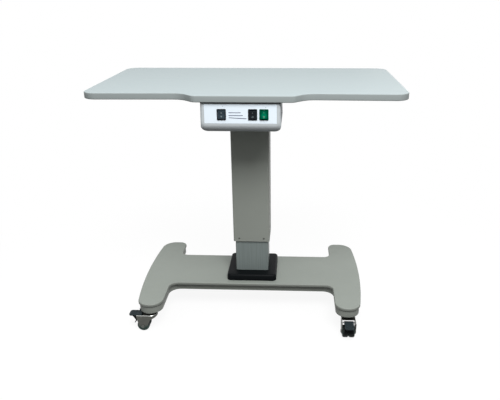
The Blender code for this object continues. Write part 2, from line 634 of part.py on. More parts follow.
def box_contents(box, centre, dark, steel, green):
    """The mains inlet in the rear wall, the supply on the floor and the control board on its posts."""
    back = -BOX_BACK_REACH
    inlet_x = BOX_WIDTH / 2 - INLET_SIDE_MARGIN
    inlet_z = BOX_TOP - INLET_DROP
    half_x = INLET_FLANGE_WIDTH / 2
    half_z = INLET_FLANGE_HEIGHT / 2
    throat_x = half_x - INLET_LIP
    throat_z = half_z - INLET_LIP
    flange = upright(rectangle(-half_x, half_x, -half_z, half_z, INLET_LIP),
                     back + SEAT, back + SEAT + INLET_FLANGE_THICKNESS)
    inlet = add("mains_inlet", flange, dark, centre, (inlet_x, 0.0, inlet_z))
    combine(inlet, upright(rectangle(-throat_x, throat_x, -throat_z, throat_z), back - INLET_DEPTH,
                           back + SEAT + INLET_FLANGE_THICKNESS / 2), "UNION")
    mouth_x = throat_x - INLET_SOCKET_WALL
    mouth_z = throat_z - INLET_SOCKET_WALL
    combine(inlet, upright(rectangle(-mouth_x, mouth_x, -mouth_z, mouth_z, INLET_SOCKET_WALL),
                           back - INLET_SOCKET_DEPTH, back + 2 * INLET_FLANGE_THICKNESS))
    window = upright(rectangle(inlet_x - throat_x - SEAT, inlet_x + throat_x + SEAT,
                               inlet_z - throat_z - SEAT, inlet_z + throat_z + SEAT),
                     back - 2 * BOX_WALL, back + BOX_WALL)
    combine(box, window)
    floor = BOX_FLOOR + SEAT
    supply_x = -BOX_WIDTH / 2 + SUPPLY_SIDE_MARGIN + SUPPLY_WIDTH / 2
    supply_y = back - SUPPLY_BACK_MARGIN - SUPPLY_DEPTH / 2
    half_w = SUPPLY_WIDTH / 2
    core_d = SUPPLY_DEPTH / 2 - SUPPLY_COIL_OVERHANG
    core = prism(rectangle(-half_w, half_w, -core_d, core_d), floor, floor + SUPPLY_HEIGHT)
    supply = add("power_supply", core, steel, centre, (supply_x, supply_y, 0.0))
    coil_w = half_w - SUPPLY_COIL_OVERHANG
    coil_d = SUPPLY_DEPTH / 2
    coil = rectangle(-coil_w, coil_w, -coil_d, coil_d, SUPPLY_COIL_OVERHANG / 2)
    combine(supply, prism(coil, floor + SUPPLY_COIL_OVERHANG, floor + SUPPLY_HEIGHT - SUPPLY_COIL_OVERHANG),
            "UNION")
    board_x = BOX_WIDTH / 2 - BOARD_SIDE_MARGIN - BOARD_WIDTH / 2
    half_w = BOARD_WIDTH / 2
    half_d = BOARD_DEPTH / 2
    low = floor + BOARD_POST_HEIGHT
    board_y = -(BOX_FRONT_REACH + BOX_BACK_REACH) / 2
    sheet = prism(rectangle(-half_w, half_w, -half_d, half_d), low, low + BOARD_THICKNESS)
    board = add("control_board", sheet, green, centre, (board_x, board_y, 0.0))
    for x in (-half_w + 2 * BOARD_POST_RADIUS, half_w - 2 * BOARD_POST_RADIUS):
        for y in (-half_d + 2 * BOARD_POST_RADIUS, half_d - 2 * BOARD_POST_RADIUS):
            post = prism(circle(BOARD_POST_RADIUS, SMALL_CIRCLE_STEPS), floor, low + BOARD_THICKNESS / 2)
            bmesh.ops.translate(post, verts=post.verts, vec=(x, y, 0.0))
            combine(board, post, "UNION")


def base_outline(foot_inset, beam_inset):
    """The H in plan: two feet with bowed outer sides and round ends, joined by a beam."""
    arc_radius = BASE_SIDE_ARC_RADIUS - foot_inset
    arc_centre = BASE_HALF_WIDTH - BASE_SIDE_ARC_RADIUS

    def side(y):
        return arc_centre + math.sqrt(arc_radius ** 2 - y ** 2)

    inner = BASE_HALF_WIDTH - FOOT_WIDTH + foot_inset
    front = -FOOT_FRONT_REACH + foot_inset
    back = FOOT_BACK_REACH - foot_inset
    arc_low = front + FOOT_FRONT_OUTER_RADIUS
    arc_high = back - FOOT_BACK_OUTER_RADIUS
    fillet = (foot_inset + beam_inset) / 2
    right = [
        (inner, -BEAM_FRONT_REACH + beam_inset, BEAM_FRONT_FILLET + fillet),
        (inner, front, FOOT_FRONT_INNER_RADIUS - foot_inset),
        (side(front), front, FOOT_FRONT_OUTER_RADIUS - foot_inset),
    ]
    for step in range(SIDE_ARC_STEPS + 1):
        y = arc_low + (arc_high - arc_low) * step / SIDE_ARC_STEPS
        right.append((side(y), y, 0.0))
    right += [
        (side(back), back, FOOT_BACK_OUTER_RADIUS - foot_inset),
        (inner, back, FOOT_BACK_INNER_RADIUS - foot_inset),
        (inner, BEAM_BACK_REACH - beam_inset, BEAM_BACK_FILLET + fillet),
    ]
    left = [(-x, y, radius) for x, y, radius in reversed(right)]
    return rounded_outline(right + left)


def caster_places():
    """Name, place and heading of each caster: the heading is where the wheels trail."""
    return (
        ("front_left", -CASTER_X, -CASTER_FRONT_REACH, math.pi, True),
        ("front_right", CASTER_X, -CASTER_FRONT_REACH, -math.pi / 2, True),
        ("rear_left", -CASTER_X, CASTER_BACK_REACH, math.pi / 2, False),
        ("rear_right", CASTER_X, CASTER_BACK_REACH, math.pi / 2, False),
    )


def base(column, paint):
    """The cover plate on a cast frame with pockets underneath and a hole for each caster's stem."""
    plate = prism(base_outline(0.0, 0.0), COVER_BOTTOM, BASE_TOP_HEIGHT)
    round_ring(plate, BASE_TOP_HEIGHT, COVER_EDGE_ROUND)
    round_ring(plate, COVER_BOTTOM, FRAME_EDGE_ROUND / 2, 1)
    add("base_cover", plate, paint, column)
    casting = prism(base_outline(FRAME_FOOT_INSET, FRAME_BEAM_INSET), FRAME_BOTTOM, FRAME_TOP)
    round_ring(casting, FRAME_BOTTOM, FRAME_EDGE_ROUND, 2)
    frame = add("base_frame", casting, paint, column)
    low = FRAME_BOTTOM - FRAME_WEB
    high = FRAME_TOP - FRAME_WEB
    inner = BASE_HALF_WIDTH - FOOT_WIDTH
    beam_front = -BEAM_FRONT_REACH + FRAME_BEAM_INSET + FRAME_WALL
    beam_back = BEAM_BACK_REACH - FRAME_BEAM_INSET - FRAME_WALL
    pitch = 2 * inner / FRAME_POCKETS
    for index in range(FRAME_POCKETS):
        left = -inner + index * pitch + FRAME_RIB / 2
        pocket = prism(rectangle(left, left + pitch - FRAME_RIB, beam_front, beam_back, FRAME_RIB), low, high)
        combine(frame, pocket)
    foot_low = inner + FRAME_FOOT_INSET + FRAME_WALL
    foot_high = foot_low + FOOT_WIDTH - 2 * (FRAME_FOOT_INSET + FRAME_WALL) - FRAME_WALL
    foot_front = -CASTER_FRONT_REACH + CASTER_BOSS_RADIUS
    foot_back = CASTER_BACK_REACH - CASTER_BOSS_RADIUS
    for near, far in ((foot_low, foot_high), (-foot_high, -foot_low)):
        combine(frame, prism(rectangle(near, far, foot_front, foot_back, FRAME_RIB), low, high))
    for _, x, y, _, _ in caster_places():
        hole = prism(circle(STEM_RADIUS + SEAT, SMALL_CIRCLE_STEPS), low, FRAME_BOTTOM + STEM_LENGTH + SEAT)
        bmesh.ops.translate(hole, verts=hole.verts, vec=(x, y, 0.0))
        combine(frame, hole)


def swivel_head(name, axis, zinc):
    """The fixed half of the swivel: stem, flange, race and the riveted kingpin that carries the fork."""
    top = FRAME_BOTTOM - SEAT
    race_low = FORK_TOP_HEIGHT + SEAT
    pin_low = FORK_PLATE_BOTTOM - SEAT - KINGPIN_HEAD_HEIGHT
    profile = [
        (0.0, top + STEM_LENGTH),
        (0.0, pin_low),
        (KINGPIN_HEAD_FLAT_RADIUS, pin_low),
        (KINGPIN_HEAD_RADIUS, pin_low + KINGPIN_HEAD_HEIGHT / 2),
        (KINGPIN_HEAD_RADIUS, pin_low + KINGPIN_HEAD_HEIGHT),
        (KINGPIN_RADIUS, pin_low + KINGPIN_HEAD_HEIGHT),
        (KINGPIN_RADIUS, race_low),
        (SWIVEL_RACE_RADIUS, race_low),
        (SWIVEL_FLANGE_RADIUS, top - SWIVEL_FLANGE_HEIGHT),
        (SWIVEL_FLANGE_RADIUS, top),
        (STEM_RADIUS, top),
        (STEM_RADIUS, top + STEM_LENGTH),
    ]
    add(f"{name}_swivel_head", turned(profile, SMALL_CIRCLE_STEPS), zinc, axis)


def across(outline_radius, length, trail, height, steps=SMALL_CIRCLE_STEPS):
    """A cylinder across the caster, for a bore."""
    rod = prism(circle(outline_radius, steps), -length, length)
    place = Matrix.Translation((trail, 0.0, height)) @ ALONG_Y
    bmesh.ops.transform(rod, matrix=place, verts=rod.verts)
    return rod


def fork(name, axis, zinc, braked):
    """A pressed fork: a hood round the kingpin and two cheeks that taper down to the axle."""
    rear = FORK_REAR_REACH
    axle = WHEEL_RADIUS
    side_view = rounded_outline([
        (-FORK_OUTSIDE, FORK_TOP_HEIGHT, 0.0),
        (-FORK_OUTSIDE, FORK_TOP_HEIGHT - FORK_APRON, FORK_SHEET),
        (-FORK_SHEET, FORK_TOP_HEIGHT - 2 * FORK_APRON, FORK_BOSS_RADIUS),
        (CASTER_TRAIL - FORK_BOSS_RADIUS, axle - FORK_BOSS_DROP, FORK_BOSS_RADIUS),
        (CASTER_TRAIL + FORK_BOSS_RADIUS, axle - FORK_BOSS_DROP, FORK_BOSS_RADIUS),
        (rear, FORK_TOP_HEIGHT - FORK_APRON, FORK_BOSS_RADIUS),
        (rear, FORK_TOP_HEIGHT, 0.0),
    ])
    body = upright(side_view, -FORK_OUTSIDE, FORK_OUTSIDE)
    crest = [edge for edge in body.edges
             if all(abs(vert.co.z - FORK_TOP_HEIGHT) < SAME_HEIGHT for vert in edge.verts)
             and abs(edge.verts[0].co.y - edge.verts[1].co.y) < SAME_HEIGHT]
    bmesh.ops.bevel(body, geom=crest, offset=FORK_EDGE_ROUND, offset_type="OFFSET", segments=EDGE_STEPS,
                    profile=0.5, affect="EDGES", clamp_overlap=False)
    made = add(f"{name}_fork", body, zinc, axis)
    below = -FORK_BOSS_RADIUS
    plan = rounded_outline([
        (-FORK_OUTSIDE, -FORK_OUTSIDE, FORK_OUTSIDE - SEAT),
        (rear + FORK_SHEET, -FORK_OUTSIDE, 0.0),
        (rear + FORK_SHEET, FORK_OUTSIDE, 0.0),
        (-FORK_OUTSIDE, FORK_OUTSIDE, FORK_OUTSIDE - SEAT),
    ])
    combine(made, prism(plan, below, FORK_TOP_HEIGHT + FORK_SHEET), "INTERSECT")
    hood = rounded_outline([
        (-FORK_INSIDE, -FORK_INSIDE, FORK_INSIDE - SEAT),
        (rear + 2 * FORK_SHEET, -FORK_INSIDE, 0.0),
        (rear + 2 * FORK_SHEET, FORK_INSIDE, 0.0),
        (-FORK_INSIDE, FORK_INSIDE, FORK_INSIDE - SEAT),
    ])
    combine(made, prism(hood, below, FORK_PLATE_BOTTOM))
    open_back = rectangle(FORK_HOOD_END, rear + 2 * FORK_SHEET, -FORK_INSIDE, FORK_INSIDE)
    combine(made, prism(open_back, FORK_PLATE_BOTTOM - FORK_SHEET, FORK_TOP_HEIGHT + FORK_SHEET))
    combine(made, prism(circle(KINGPIN_RADIUS + RUNNING, SMALL_CIRCLE_STEPS), FORK_PLATE_BOTTOM - FORK_SHEET,
                        FORK_TOP_HEIGHT + FORK_SHEET))
    combine(made, across(AXLE_RADIUS + SEAT, 2 * FORK_OUTSIDE, CASTER_TRAIL, axle))
    if braked:
        pin_bore = across(PEDAL_PIN_RADIUS + SEAT, 2 * FORK_OUTSIDE, PEDAL_PIVOT_TRAIL, PEDAL_PIVOT_HEIGHT)
        combine(made, pin_bore)


def axle(name, axis, zinc):
    """The riveted axle through both cheeks."""
    neck = FORK_OUTSIDE + SEAT
    end = neck + AXLE_HEAD_HEIGHT
    profile = [
        (0.0, end),
        (0.0, -end),
        (AXLE_HEAD_FLAT_RADIUS, -end),
        (AXLE_HEAD_RADIUS, -neck),
        (AXLE_RADIUS, -neck),
        (AXLE_RADIUS, neck),
        (AXLE_HEAD_RADIUS, neck),
        (AXLE_HEAD_FLAT_RADIUS, end),
    ]
    rod = turned(profile, SMALL_CIRCLE_STEPS)
    bmesh.ops.transform(rod, matrix=ALONG_Y, verts=rod.verts)
    add(f"{name}_axle", rod, zinc, axis, (CASTER_TRAIL, 0.0, WHEEL_RADIUS))


def wheel(name, axis, side, rubber):
    """One of the twin wheels: a tread with round shoulders and a dished outer face round the hub."""
    bore = AXLE_RADIUS + SEAT
    rim = WHEEL_RADIUS - WHEEL_SHOULDER
    dish = WHEEL_WIDTH - WHEEL_DISH_DEPTH
    quarter = math.sqrt(0.5)
    soft = WHEEL_SHOULDER * (1 - quarter)
    profile = [
        (bore, 0.0),
        (rim, 0.0),
        (WHEEL_RADIUS, WHEEL_SHOULDER),
        (WHEEL_RADIUS, WHEEL_WIDTH - WHEEL_SHOULDER),
        (WHEEL_RADIUS - soft, WHEEL_WIDTH - soft),
        (rim, WHEEL_WIDTH),
        (rim - WHEEL_DISH_DEPTH, dish),
        (WHEEL_HUB_RADIUS + WHEEL_DISH_DEPTH / 2, dish),
        (WHEEL_HUB_RADIUS, WHEEL_WIDTH),
        (bore, WHEEL_WIDTH),
    ]
    disc = turned([(radius, height + WHEEL_SPACING / 2) for radius, height in profile])
    turn = ALONG_Y if side > 0 else Matrix.Rotation(math.pi, 4, "X") @ ALONG_Y
    bmesh.ops.transform(disc, matrix=turn, verts=disc.verts)
    hand = "a" if side > 0 else "b"
    add(f"{name}_wheel_{hand}", disc, rubber, axis, (CASTER_TRAIL, 0.0, WHEEL_RADIUS))


def brake_pedal(name, axis, plastic, zinc):
    """A lever on a pin across the cheeks: a flat toe, a shoe over both treads and a lip that releases it."""
    pivot_x = PEDAL_PIVOT_TRAIL
    barrel = PEDAL_BARREL_RADIUS
    under = barrel - PEDAL_THICKNESS
    shoe_in = PEDAL_SHOE_TRAIL - pivot_x
    shoe_out = shoe_in + PEDAL_SHOE_THICKNESS
    reach = WHEEL_RADIUS + PEDAL_SHOE_CLEARANCE
    shoe_rise = math.sqrt(reach ** 2 - (PEDAL_SHOE_TRAIL - CASTER_TRAIL) ** 2)
    shoe_low = WHEEL_RADIUS + shoe_rise - PEDAL_PIVOT_HEIGHT
    lip_out = PEDAL_LIP_TRAIL - pivot_x
    toe = PEDAL_REACH - pivot_x
    round_off = PEDAL_THICKNESS / 4
    side_view = rounded_outline([
        (-barrel, -barrel, PEDAL_BARREL_ROUND),
        (shoe_in, -barrel, 0.0),
        (shoe_in, shoe_low, round_off),
        (shoe_out, shoe_low, 0.0),
        (lip_out - PEDAL_LIP_THICKNESS, -PEDAL_LIP_DROP, round_off),
        (lip_out, -PEDAL_LIP_DROP, round_off),
        (shoe_out + PEDAL_LIP_THICKNESS, shoe_low, round_off),
        (PEDAL_GUSSET_TRAIL - pivot_x, under, round_off),
        (toe, under, round_off),
        (toe, barrel, PEDAL_TOE_ROUND),
        (-barrel, barrel, PEDAL_BARREL_ROUND),
    ])
    lever = upright(side_view, -PEDAL_WIDTH / 2, PEDAL_WIDTH / 2)
    made = add(f"{name}_brake_pedal", lever, plastic, axis, (pivot_x, 0.0, PEDAL_PIVOT_HEIGHT))
    combine(made, across(PEDAL_PIN_RADIUS + SEAT, PEDAL_WIDTH, 0.0, 0.0))
    pin = across(PEDAL_PIN_RADIUS, FORK_OUTSIDE, pivot_x, PEDAL_PIVOT_HEIGHT)
    add(f"{name}_pedal_pin", pin, zinc, axis)


def caster(name, place, heading, braked, column, zinc, rubber, plastic):
    """One twin-wheel swivel caster, on an empty on its swivel axis."""
    axis = empty(f"{name}_swivel_axis", place, column, heading)
    swivel_head(name, axis, zinc)
    fork(name, axis, zinc, braked)
    axle(name, axis, zinc)
    for side in (1, -1):
        wheel(name, axis, side, rubber)
    if braked:
        brake_pedal(name, axis, plastic, zinc)


def main():
    for old in list(bpy.data.objects):
        bpy.data.objects.remove(old)
    board_grey = material("foil_board", (0.60, 0.67, 0.68), 0.45)
    paint = material("grey_paint", (0.38, 0.41, 0.37), 0.45)
    box_paint = material("box_paint", (0.52, 0.56, 0.57), 0.40)
    panel_white = material("faceplate", (0.71, 0.80, 0.88), 0.35)
    black = material("black_plastic", (0.012, 0.015, 0.017), 0.40)
    green_lens = material("green_lens", (0.004, 0.17, 0.08), 0.25)
    steel = material("steel", (0.42, 0.42, 0.43), 0.35, 1.0)
    zinc = material("zinc", (0.10, 0.104, 0.095), 0.35, 1.0)
    brass = material("bronze", (0.55, 0.38, 0.16), 0.35, 1.0)
    rubber = material("wheel_polymer", (0.020, 0.022, 0.023), 0.50)
    board_green = material("circuit_board", (0.02, 0.13, 0.05), 0.50)

    column = empty("column_axis", (0.0, COLUMN_Y, 0.0))
    tabletop(column, board_grey)
    top_plate(column, steel)
    column_tubes(column, paint, black, zinc)
    column_foot(column, black, steel)
    lifting_drive(column, black, steel, brass)
    box_centre = empty("control_box_centre", (BOX_CENTRE_X, 0.0, 0.0), column)
    box = control_box(box_centre, box_paint, black, panel_white)
    finishes = {"mains": (green_lens, -ROCKER_TILT), "outlet": (black, ROCKER_TILT), "up_down": (black, 0.0)}
    for name, x in SWITCH_PLACES:
        finish, tilt = finishes[name]
        rocker_switch(name, x, tilt, box_centre, black, finish)
    box_contents(box, box_centre, black, steel, board_green)
    base(column, paint)
    for name, x, y, heading, braked in caster_places():
        caster(name, (x, y, 0.0), heading, braked, column, zinc, rubber, black)


main()
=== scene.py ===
"""Looks of the electric treatment table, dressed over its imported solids.

Metres, +Z up. The sitter is at -Y and the column stands near the origin.
"""

import json
import math

import bmesh
import bpy
import numpy as np
from mathutils import Matrix, Vector


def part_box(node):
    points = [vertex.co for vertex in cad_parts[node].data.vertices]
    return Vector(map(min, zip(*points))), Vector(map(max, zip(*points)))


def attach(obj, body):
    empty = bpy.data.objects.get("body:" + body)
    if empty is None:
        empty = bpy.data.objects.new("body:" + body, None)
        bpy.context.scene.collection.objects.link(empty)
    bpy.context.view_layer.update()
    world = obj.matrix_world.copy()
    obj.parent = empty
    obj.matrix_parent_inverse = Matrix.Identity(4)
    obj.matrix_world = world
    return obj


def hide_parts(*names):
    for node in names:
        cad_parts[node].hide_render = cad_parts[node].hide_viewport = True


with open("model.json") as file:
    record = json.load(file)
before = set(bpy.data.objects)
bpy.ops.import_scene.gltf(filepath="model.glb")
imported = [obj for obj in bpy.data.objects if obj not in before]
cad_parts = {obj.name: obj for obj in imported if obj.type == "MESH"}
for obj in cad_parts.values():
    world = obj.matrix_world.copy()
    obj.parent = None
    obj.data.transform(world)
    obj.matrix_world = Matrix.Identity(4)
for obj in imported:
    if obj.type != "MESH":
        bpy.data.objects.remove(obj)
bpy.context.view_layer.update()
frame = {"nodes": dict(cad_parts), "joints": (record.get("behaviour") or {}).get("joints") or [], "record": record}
nodes = frame["nodes"]
record = frame["record"]
SLOTS = {subpart["node"]: subpart["material_slot"] for subpart in record["subparts"]}
BODIES = {node: body for body, held in record["behaviour"]["bodies"].items() for node in held}

# The photograph's view
CAMERA_EYE = (0.14493, -1.73524, 1.07099)
CAMERA_YAW = math.radians(-2.5337)
CAMERA_DIP = math.radians(22.1249)
CAMERA_ROLL = math.radians(-0.2181)
CAMERA_LENS_MM = 39.281
CAMERA_SENSOR_MM = 36.0
CAMERA_SHIFT = (-0.0436, 0.0092)

# Light: the sky and the floor, then each lamp's name, watts, edge and place
WHITE = (1.0, 1.0, 1.0, 1.0)
SKY_AT_HORIZON = 0.036
SKY_OVERHEAD = 1.0
FLOOR_HALF_WIDTH = 12.0
FLOOR_GLOW = 0.91
FLOOR_BOUNCE = 0.08
FLOOR_ROUGHNESS = 0.9
SHADOW_REACH = (0.45, 1.3)
LAMP_TARGET = (0.0, 0.0, 0.4)
LAMPS = (
    ("front_lamp", 72.0, 1.2, (0.4, -1.6, 2.5)),
    ("rear_lamp", 4.0, 1.5, (1.3, 1.9, 1.1)),
    ("overhead_lamp", 5.0, 1.0, (-0.9, 0.1, 2.6)),
)


# Finishes

class Value:
    """A shader socket: arithmetic on it adds Math nodes to its tree."""

    def __init__(self, tree, socket):
        self.tree = tree
        self.socket = socket

    def join(self, operation, first, second):
        return self.tree.node("Math", {"operation": operation}, {0: first, 1: second})

    def __add__(self, other):
        return self.join("ADD", self, other)

    __radd__ = __add__

    def __sub__(self, other):
        return self.join("SUBTRACT", self, other)

    def __rsub__(self, other):
        return self.join("SUBTRACT", other, self)

    def __mul__(self, other):
        return self.join("MULTIPLY", self, other)

    __rmul__ = __mul__

    def __pow__(self, other):
        return self.join("POWER", self, other)

    def most(self, other):
        return self.join("MAXIMUM", self, other)

    def rise(self, low, high):
        """0 below low, 1 above high and an even S between them; high may lie below low."""
        ends = {"Value": self, "From Min": low, "From Max": high}
        return self.tree.node("MapRange", {"interpolation_type": "SMOOTHSTEP"}, ends)

    def within(self, low, high, soft):
        """1 between low and high, 0 outside them, with soft ends."""
        return self.rise(low - soft, low + soft) * self.rise(high + soft, high - soft)


class Tree:
    """The nodes of a material or a world: its own shader and what feeds it."""

    def __init__(self, owner, shader, **fixed):
        owner.use_nodes = True
        self.graph = owner.node_tree
        self.shader = self.graph.nodes[shader]
        for socket, value in fixed.items():
            self.shader.inputs[socket.replace("_", " ")].default_value = value

    def node(self, kind, settings, inputs, output=0):
        """Adds a node: its settings first, then each socket's value or link."""
        made = self.graph.nodes.new("ShaderNode" + kind)
        for name, value in settings.items():
            setattr(made, name, value)
        for name, value in inputs.items():
            if isinstance(value, Value):
                self.graph.links.new(value.socket, made.inputs[name])
            else:
                made.inputs[name].default_value = value
        return Value(self, made.outputs[output])

    def feed(self, socket, value):
        self.graph.links.new(value.socket, self.shader.inputs[socket])

    def eye(self):
        """1 for camera, mirror and glass rays, which see a white room, and 0 for rays that carry light."""
        rays = ("Is Camera Ray", "Is Glossy Ray", "Is Transmission Ray")
        camera, mirror, glass = (self.node("LightPath", {}, {}, ray) for ray in rays)
        return camera.most(mirror).most(glass)

    def show(self, share, seen, output):
        """Shows another shader in place of its own one, by a share."""
        own = Value(self, self.shader.outputs[0])
        shown = self.node("MixShader", {}, {0: share, 1: own, 2: seen})
        self.graph.links.new(shown.socket, self.graph.nodes[output].inputs["Surface"])


class Finish(Tree):
    """One material: a Principled shader with textures by place."""

    def __init__(self, name, **fixed):
        self.material = bpy.data.materials.new(name)
        super().__init__(self.material, "Principled BSDF", **fixed)

    def place(self):
        return self.node("TexCoord", {}, {}, "Object")

    def axes(self):
        """The three object coordinates, in metres."""
        place = self.place()
        return [self.node("SeparateXYZ", {}, {0: place}, axis) for axis in range(3)]

    def noise(self, grain, detail, stretch=(1.0, 1.0, 1.0), distortion=0.0):
        """Cloudy values about 0.5, in patches about grain metres wide, divided by the stretch."""
        place = self.node("Mapping", {"vector_type": "POINT"}, {"Vector": self.place(), "Scale": stretch})
        inputs = {"Vector": place, "Scale": 1.0 / grain, "Detail": detail, "Distortion": distortion}
        return self.node("TexNoise", {}, inputs)

    def cells(self, grain, feature="F1"):
        """Distance to the nearest of points about grain metres apart, or to their cells' edges."""
        inputs = {"Vector": self.place(), "Scale": 1.0 / grain}
        return self.node("TexVoronoi", {"feature": feature}, inputs)

    def attribute(self, name):
        return self.node("Attribute", {"attribute_name": name}, {}, "Fac")

    def mix(self, share, first, second):
        """The first colour, turning into the second one as share goes from 0 to 1."""
        ends = {0: share}
        for index, colour in ((6, first), (7, second)):
            ends[index] = colour if isinstance(colour, Value) else (*colour, 1.0)
        return self.node("Mix", {"data_type": "RGBA"}, ends, 2)

    def shade(self, colour, low, high, share):
        """A colour made darker or lighter, from low to high times itself, by a share."""
        dark = tuple(low * part for part in colour)
        light = tuple(high * part for part in colour)
        return self.mix(share, dark, light)

    def dress(self, colour, roughness, height, depth):
        """Feeds the shader a colour, a roughness and a normal, and gives the material.

        The normal follows a height of 0 to 1, which stands for depth metres.
        """
        bump = {"Height": height, "Distance": depth, "Strength": 1.0}
        self.feed("Base Color", colour)
        self.feed("Roughness", roughness)
        self.feed("Normal", self.node("Bump", {}, bump))
        return self.material


def foil_finish(name, colour):
    """Matt foil on the board: a fine pebble, faint clouds and hairline scratches."""
    made = Finish(name, IOR=1.47, Specular_IOR_Level=0.08)
    clouds = made.noise(0.16, 3.0)
    hairs = made.noise(0.05, 2.0, (0.05, 3.0, 1.0), 0.4).rise(0.70, 0.74)
    base = made.shade(colour, 0.98, 1.02, clouds)
    scratched = made.mix(hairs * 0.10, base, tuple(1.1 * part for part in colour))
    return made.dress(scratched, clouds * 0.12 + 0.40 + hairs * 0.08, made.noise(0.0009, 2.0), 0.00006)


def paint_finish(name, colour, gloss, shine=0.25, streak=0.0):
    """Stoved paint on metal: orange peel, faint clouds, a few darker specks and upright wiping streaks."""
    made = Finish(name, IOR=1.5, Specular_IOR_Level=shine)
    clouds = made.noise(0.11, 4.0)
    specks = made.cells(0.004).rise(0.10, 0.04)
    wiped = made.noise(0.004, 2.0, (1.0, 1.0, 0.03)).rise(0.45, 0.70)
    base = made.shade(colour, 0.96, 1.04, clouds)
    marks = specks * 0.15 + wiped * streak
    marked = made.mix(marks, base, tuple(0.6 * part for part in colour))
    return made.dress(marked, made.noise(0.03, 3.0) * 0.16 + gloss, made.noise(0.0022, 2.0), 0.00007)


def moulded_finish(name, colour, gloss, shine=0.2):
    """Injection-moulded plastic: spark-eroded grain, with a slight change of gloss where hands rub it."""
    made = Finish(name, IOR=1.5, Specular_IOR_Level=shine)
    wear_and_painted_highlight = made.noise(0.02, 3.0)
    base = made.shade(colour, 0.85, 1.15, wear_and_painted_highlight)
    return made.dress(base, wear_and_painted_highlight * 0.16 + gloss, made.noise(0.0007, 1.0), 0.00004)


def metal_finish(name, colour, tint, gloss):
    """Bare or plated metal: two tints in clouds, a fine grain and a changing polish."""
    made = Finish(name, Metallic=1.0)
    clouds = made.noise(0.012, 4.0).rise(0.35, 0.65)
    grain = made.noise(0.0012, 2.0)
    return made.dress(made.mix(clouds, colour, tint), grain * 0.18 + gloss, grain, 0.00002)


def fork_finish(name):
    """Dark zinc plating, with painted shade, tinted teal, low down round the axles, and a painted highlight where
    rim marks show a pressed bend.
    """
    made = Finish(name, Metallic=1.0)
    clouds = made.noise(0.015, 4.0)
    # Painted highlight: bright metal where rim marks show the bend that catches the light.
    wear_and_painted_highlight = (made.attribute("rim") + clouds * 0.2).rise(1.1, 1.35)
    # Painted shade: darker and teal towards the fork's lower end, round the axle.
    low_painted_shade = (made.axes()[2] + clouds * 0.004).rise(0.029, 0.017)
    base = made.shade((0.096, 0.098, 0.089), 0.85, 1.15, clouds)
    base = made.mix(low_painted_shade, base, (0.042, 0.062, 0.056))
    base = made.mix(wear_and_painted_highlight, base, (0.60, 0.62, 0.60))
    grain = made.noise(0.0012, 2.0)
    return made.dress(base, grain * 0.15 + 0.34 - wear_and_painted_highlight * 0.12, grain, 0.00002)


def circuit_finish(name):
    """Green lacquer on a board with copper tracks under it."""
    made = Finish(name, Coat_Weight=0.4)
    tracks = made.cells(0.006, "DISTANCE_TO_EDGE").rise(0.10, 0.06)
    base = made.mix(tracks, (0.015, 0.11, 0.045), (0.05, 0.21, 0.07))
    return made.dress(base, tracks * 0.1 + 0.4, tracks, 0.00003)


PRINT_SOFT = 0.0002
STRIPE_START = -0.0408
STRIPES = ((-0.0072, 0.7366, 0.0), (-0.0014, 0.7286, 0.0), (0.0091, 0.7223, -0.05))
STRIPE_HALF = 0.0010
DOTS = ((-0.0571, 0.7547), (0.0630, 0.7519))
DOT_HALF = 0.0010
DOT_INK = 0.5


def faceplate_finish(name):
    """The printed white panel: three plain stripes of growing length and two dots."""
    made = Finish(name, IOR=1.5, Specular_IOR_Level=0.3)
    x, _, z = made.axes()
    ink = 0.0
    for stop, height, slope in STRIPES:
        along = x.within(STRIPE_START, stop, PRINT_SOFT)
        rise = z - (x - STRIPE_START) * slope - height
        ink = along * rise.within(-STRIPE_HALF, STRIPE_HALF, PRINT_SOFT) + ink
    for middle, height in DOTS:
        across = x.within(middle - DOT_HALF, middle + DOT_HALF, PRINT_SOFT)
        ink = across * z.within(height - DOT_HALF, height + DOT_HALF, PRINT_SOFT) * DOT_INK + ink
    grime = made.noise(0.06, 3.0)
    base = made.shade((0.80, 0.89, 0.96), 0.98, 1.02, grime)
    printed = made.mix(ink, base, (0.030, 0.036, 0.11))
    return made.dress(printed, grime * 0.1 + 0.28, made.noise(0.0007, 1.0), 0.00002)


# The green rocker's lighter middle, a painted glow of the lamp inside it, ends about one over these, in metres,
# from its centre
LENS_WIDTH_SCALE = 120.0
LENS_HEIGHT_SCALE = 80.0


def lens_finish(name):
    """The green rocker: plastic with a lighter, soft-edged oval in its middle, painted as the glow of the lamp
    inside it.
    """
    made = Finish(name, IOR=1.5, Specular_IOR_Level=0.015)
    x, _, z = made.axes()
    pivot = pivot_of("mains_press")
    reach = ((x - pivot[0]) * LENS_WIDTH_SCALE) ** 2.0 + ((z - pivot[2]) * LENS_HEIGHT_SCALE) ** 2.0
    # Painted glow: lighter green in the middle, where the lamp inside shines through.
    middle = reach.rise(1.1, 0.1)
    base = made.mix(middle, (0.0, 0.075, 0.038), (0.0, 0.155, 0.076))
    return made.dress(base, middle * 0.08 + 0.2, made.noise(0.0007, 1.0), 0.00002)


def pivot_of(joint):
    """Where a hinge turns."""
    return [item["pos_m"] for item in frame["joints"] if item["name"] == joint][0]


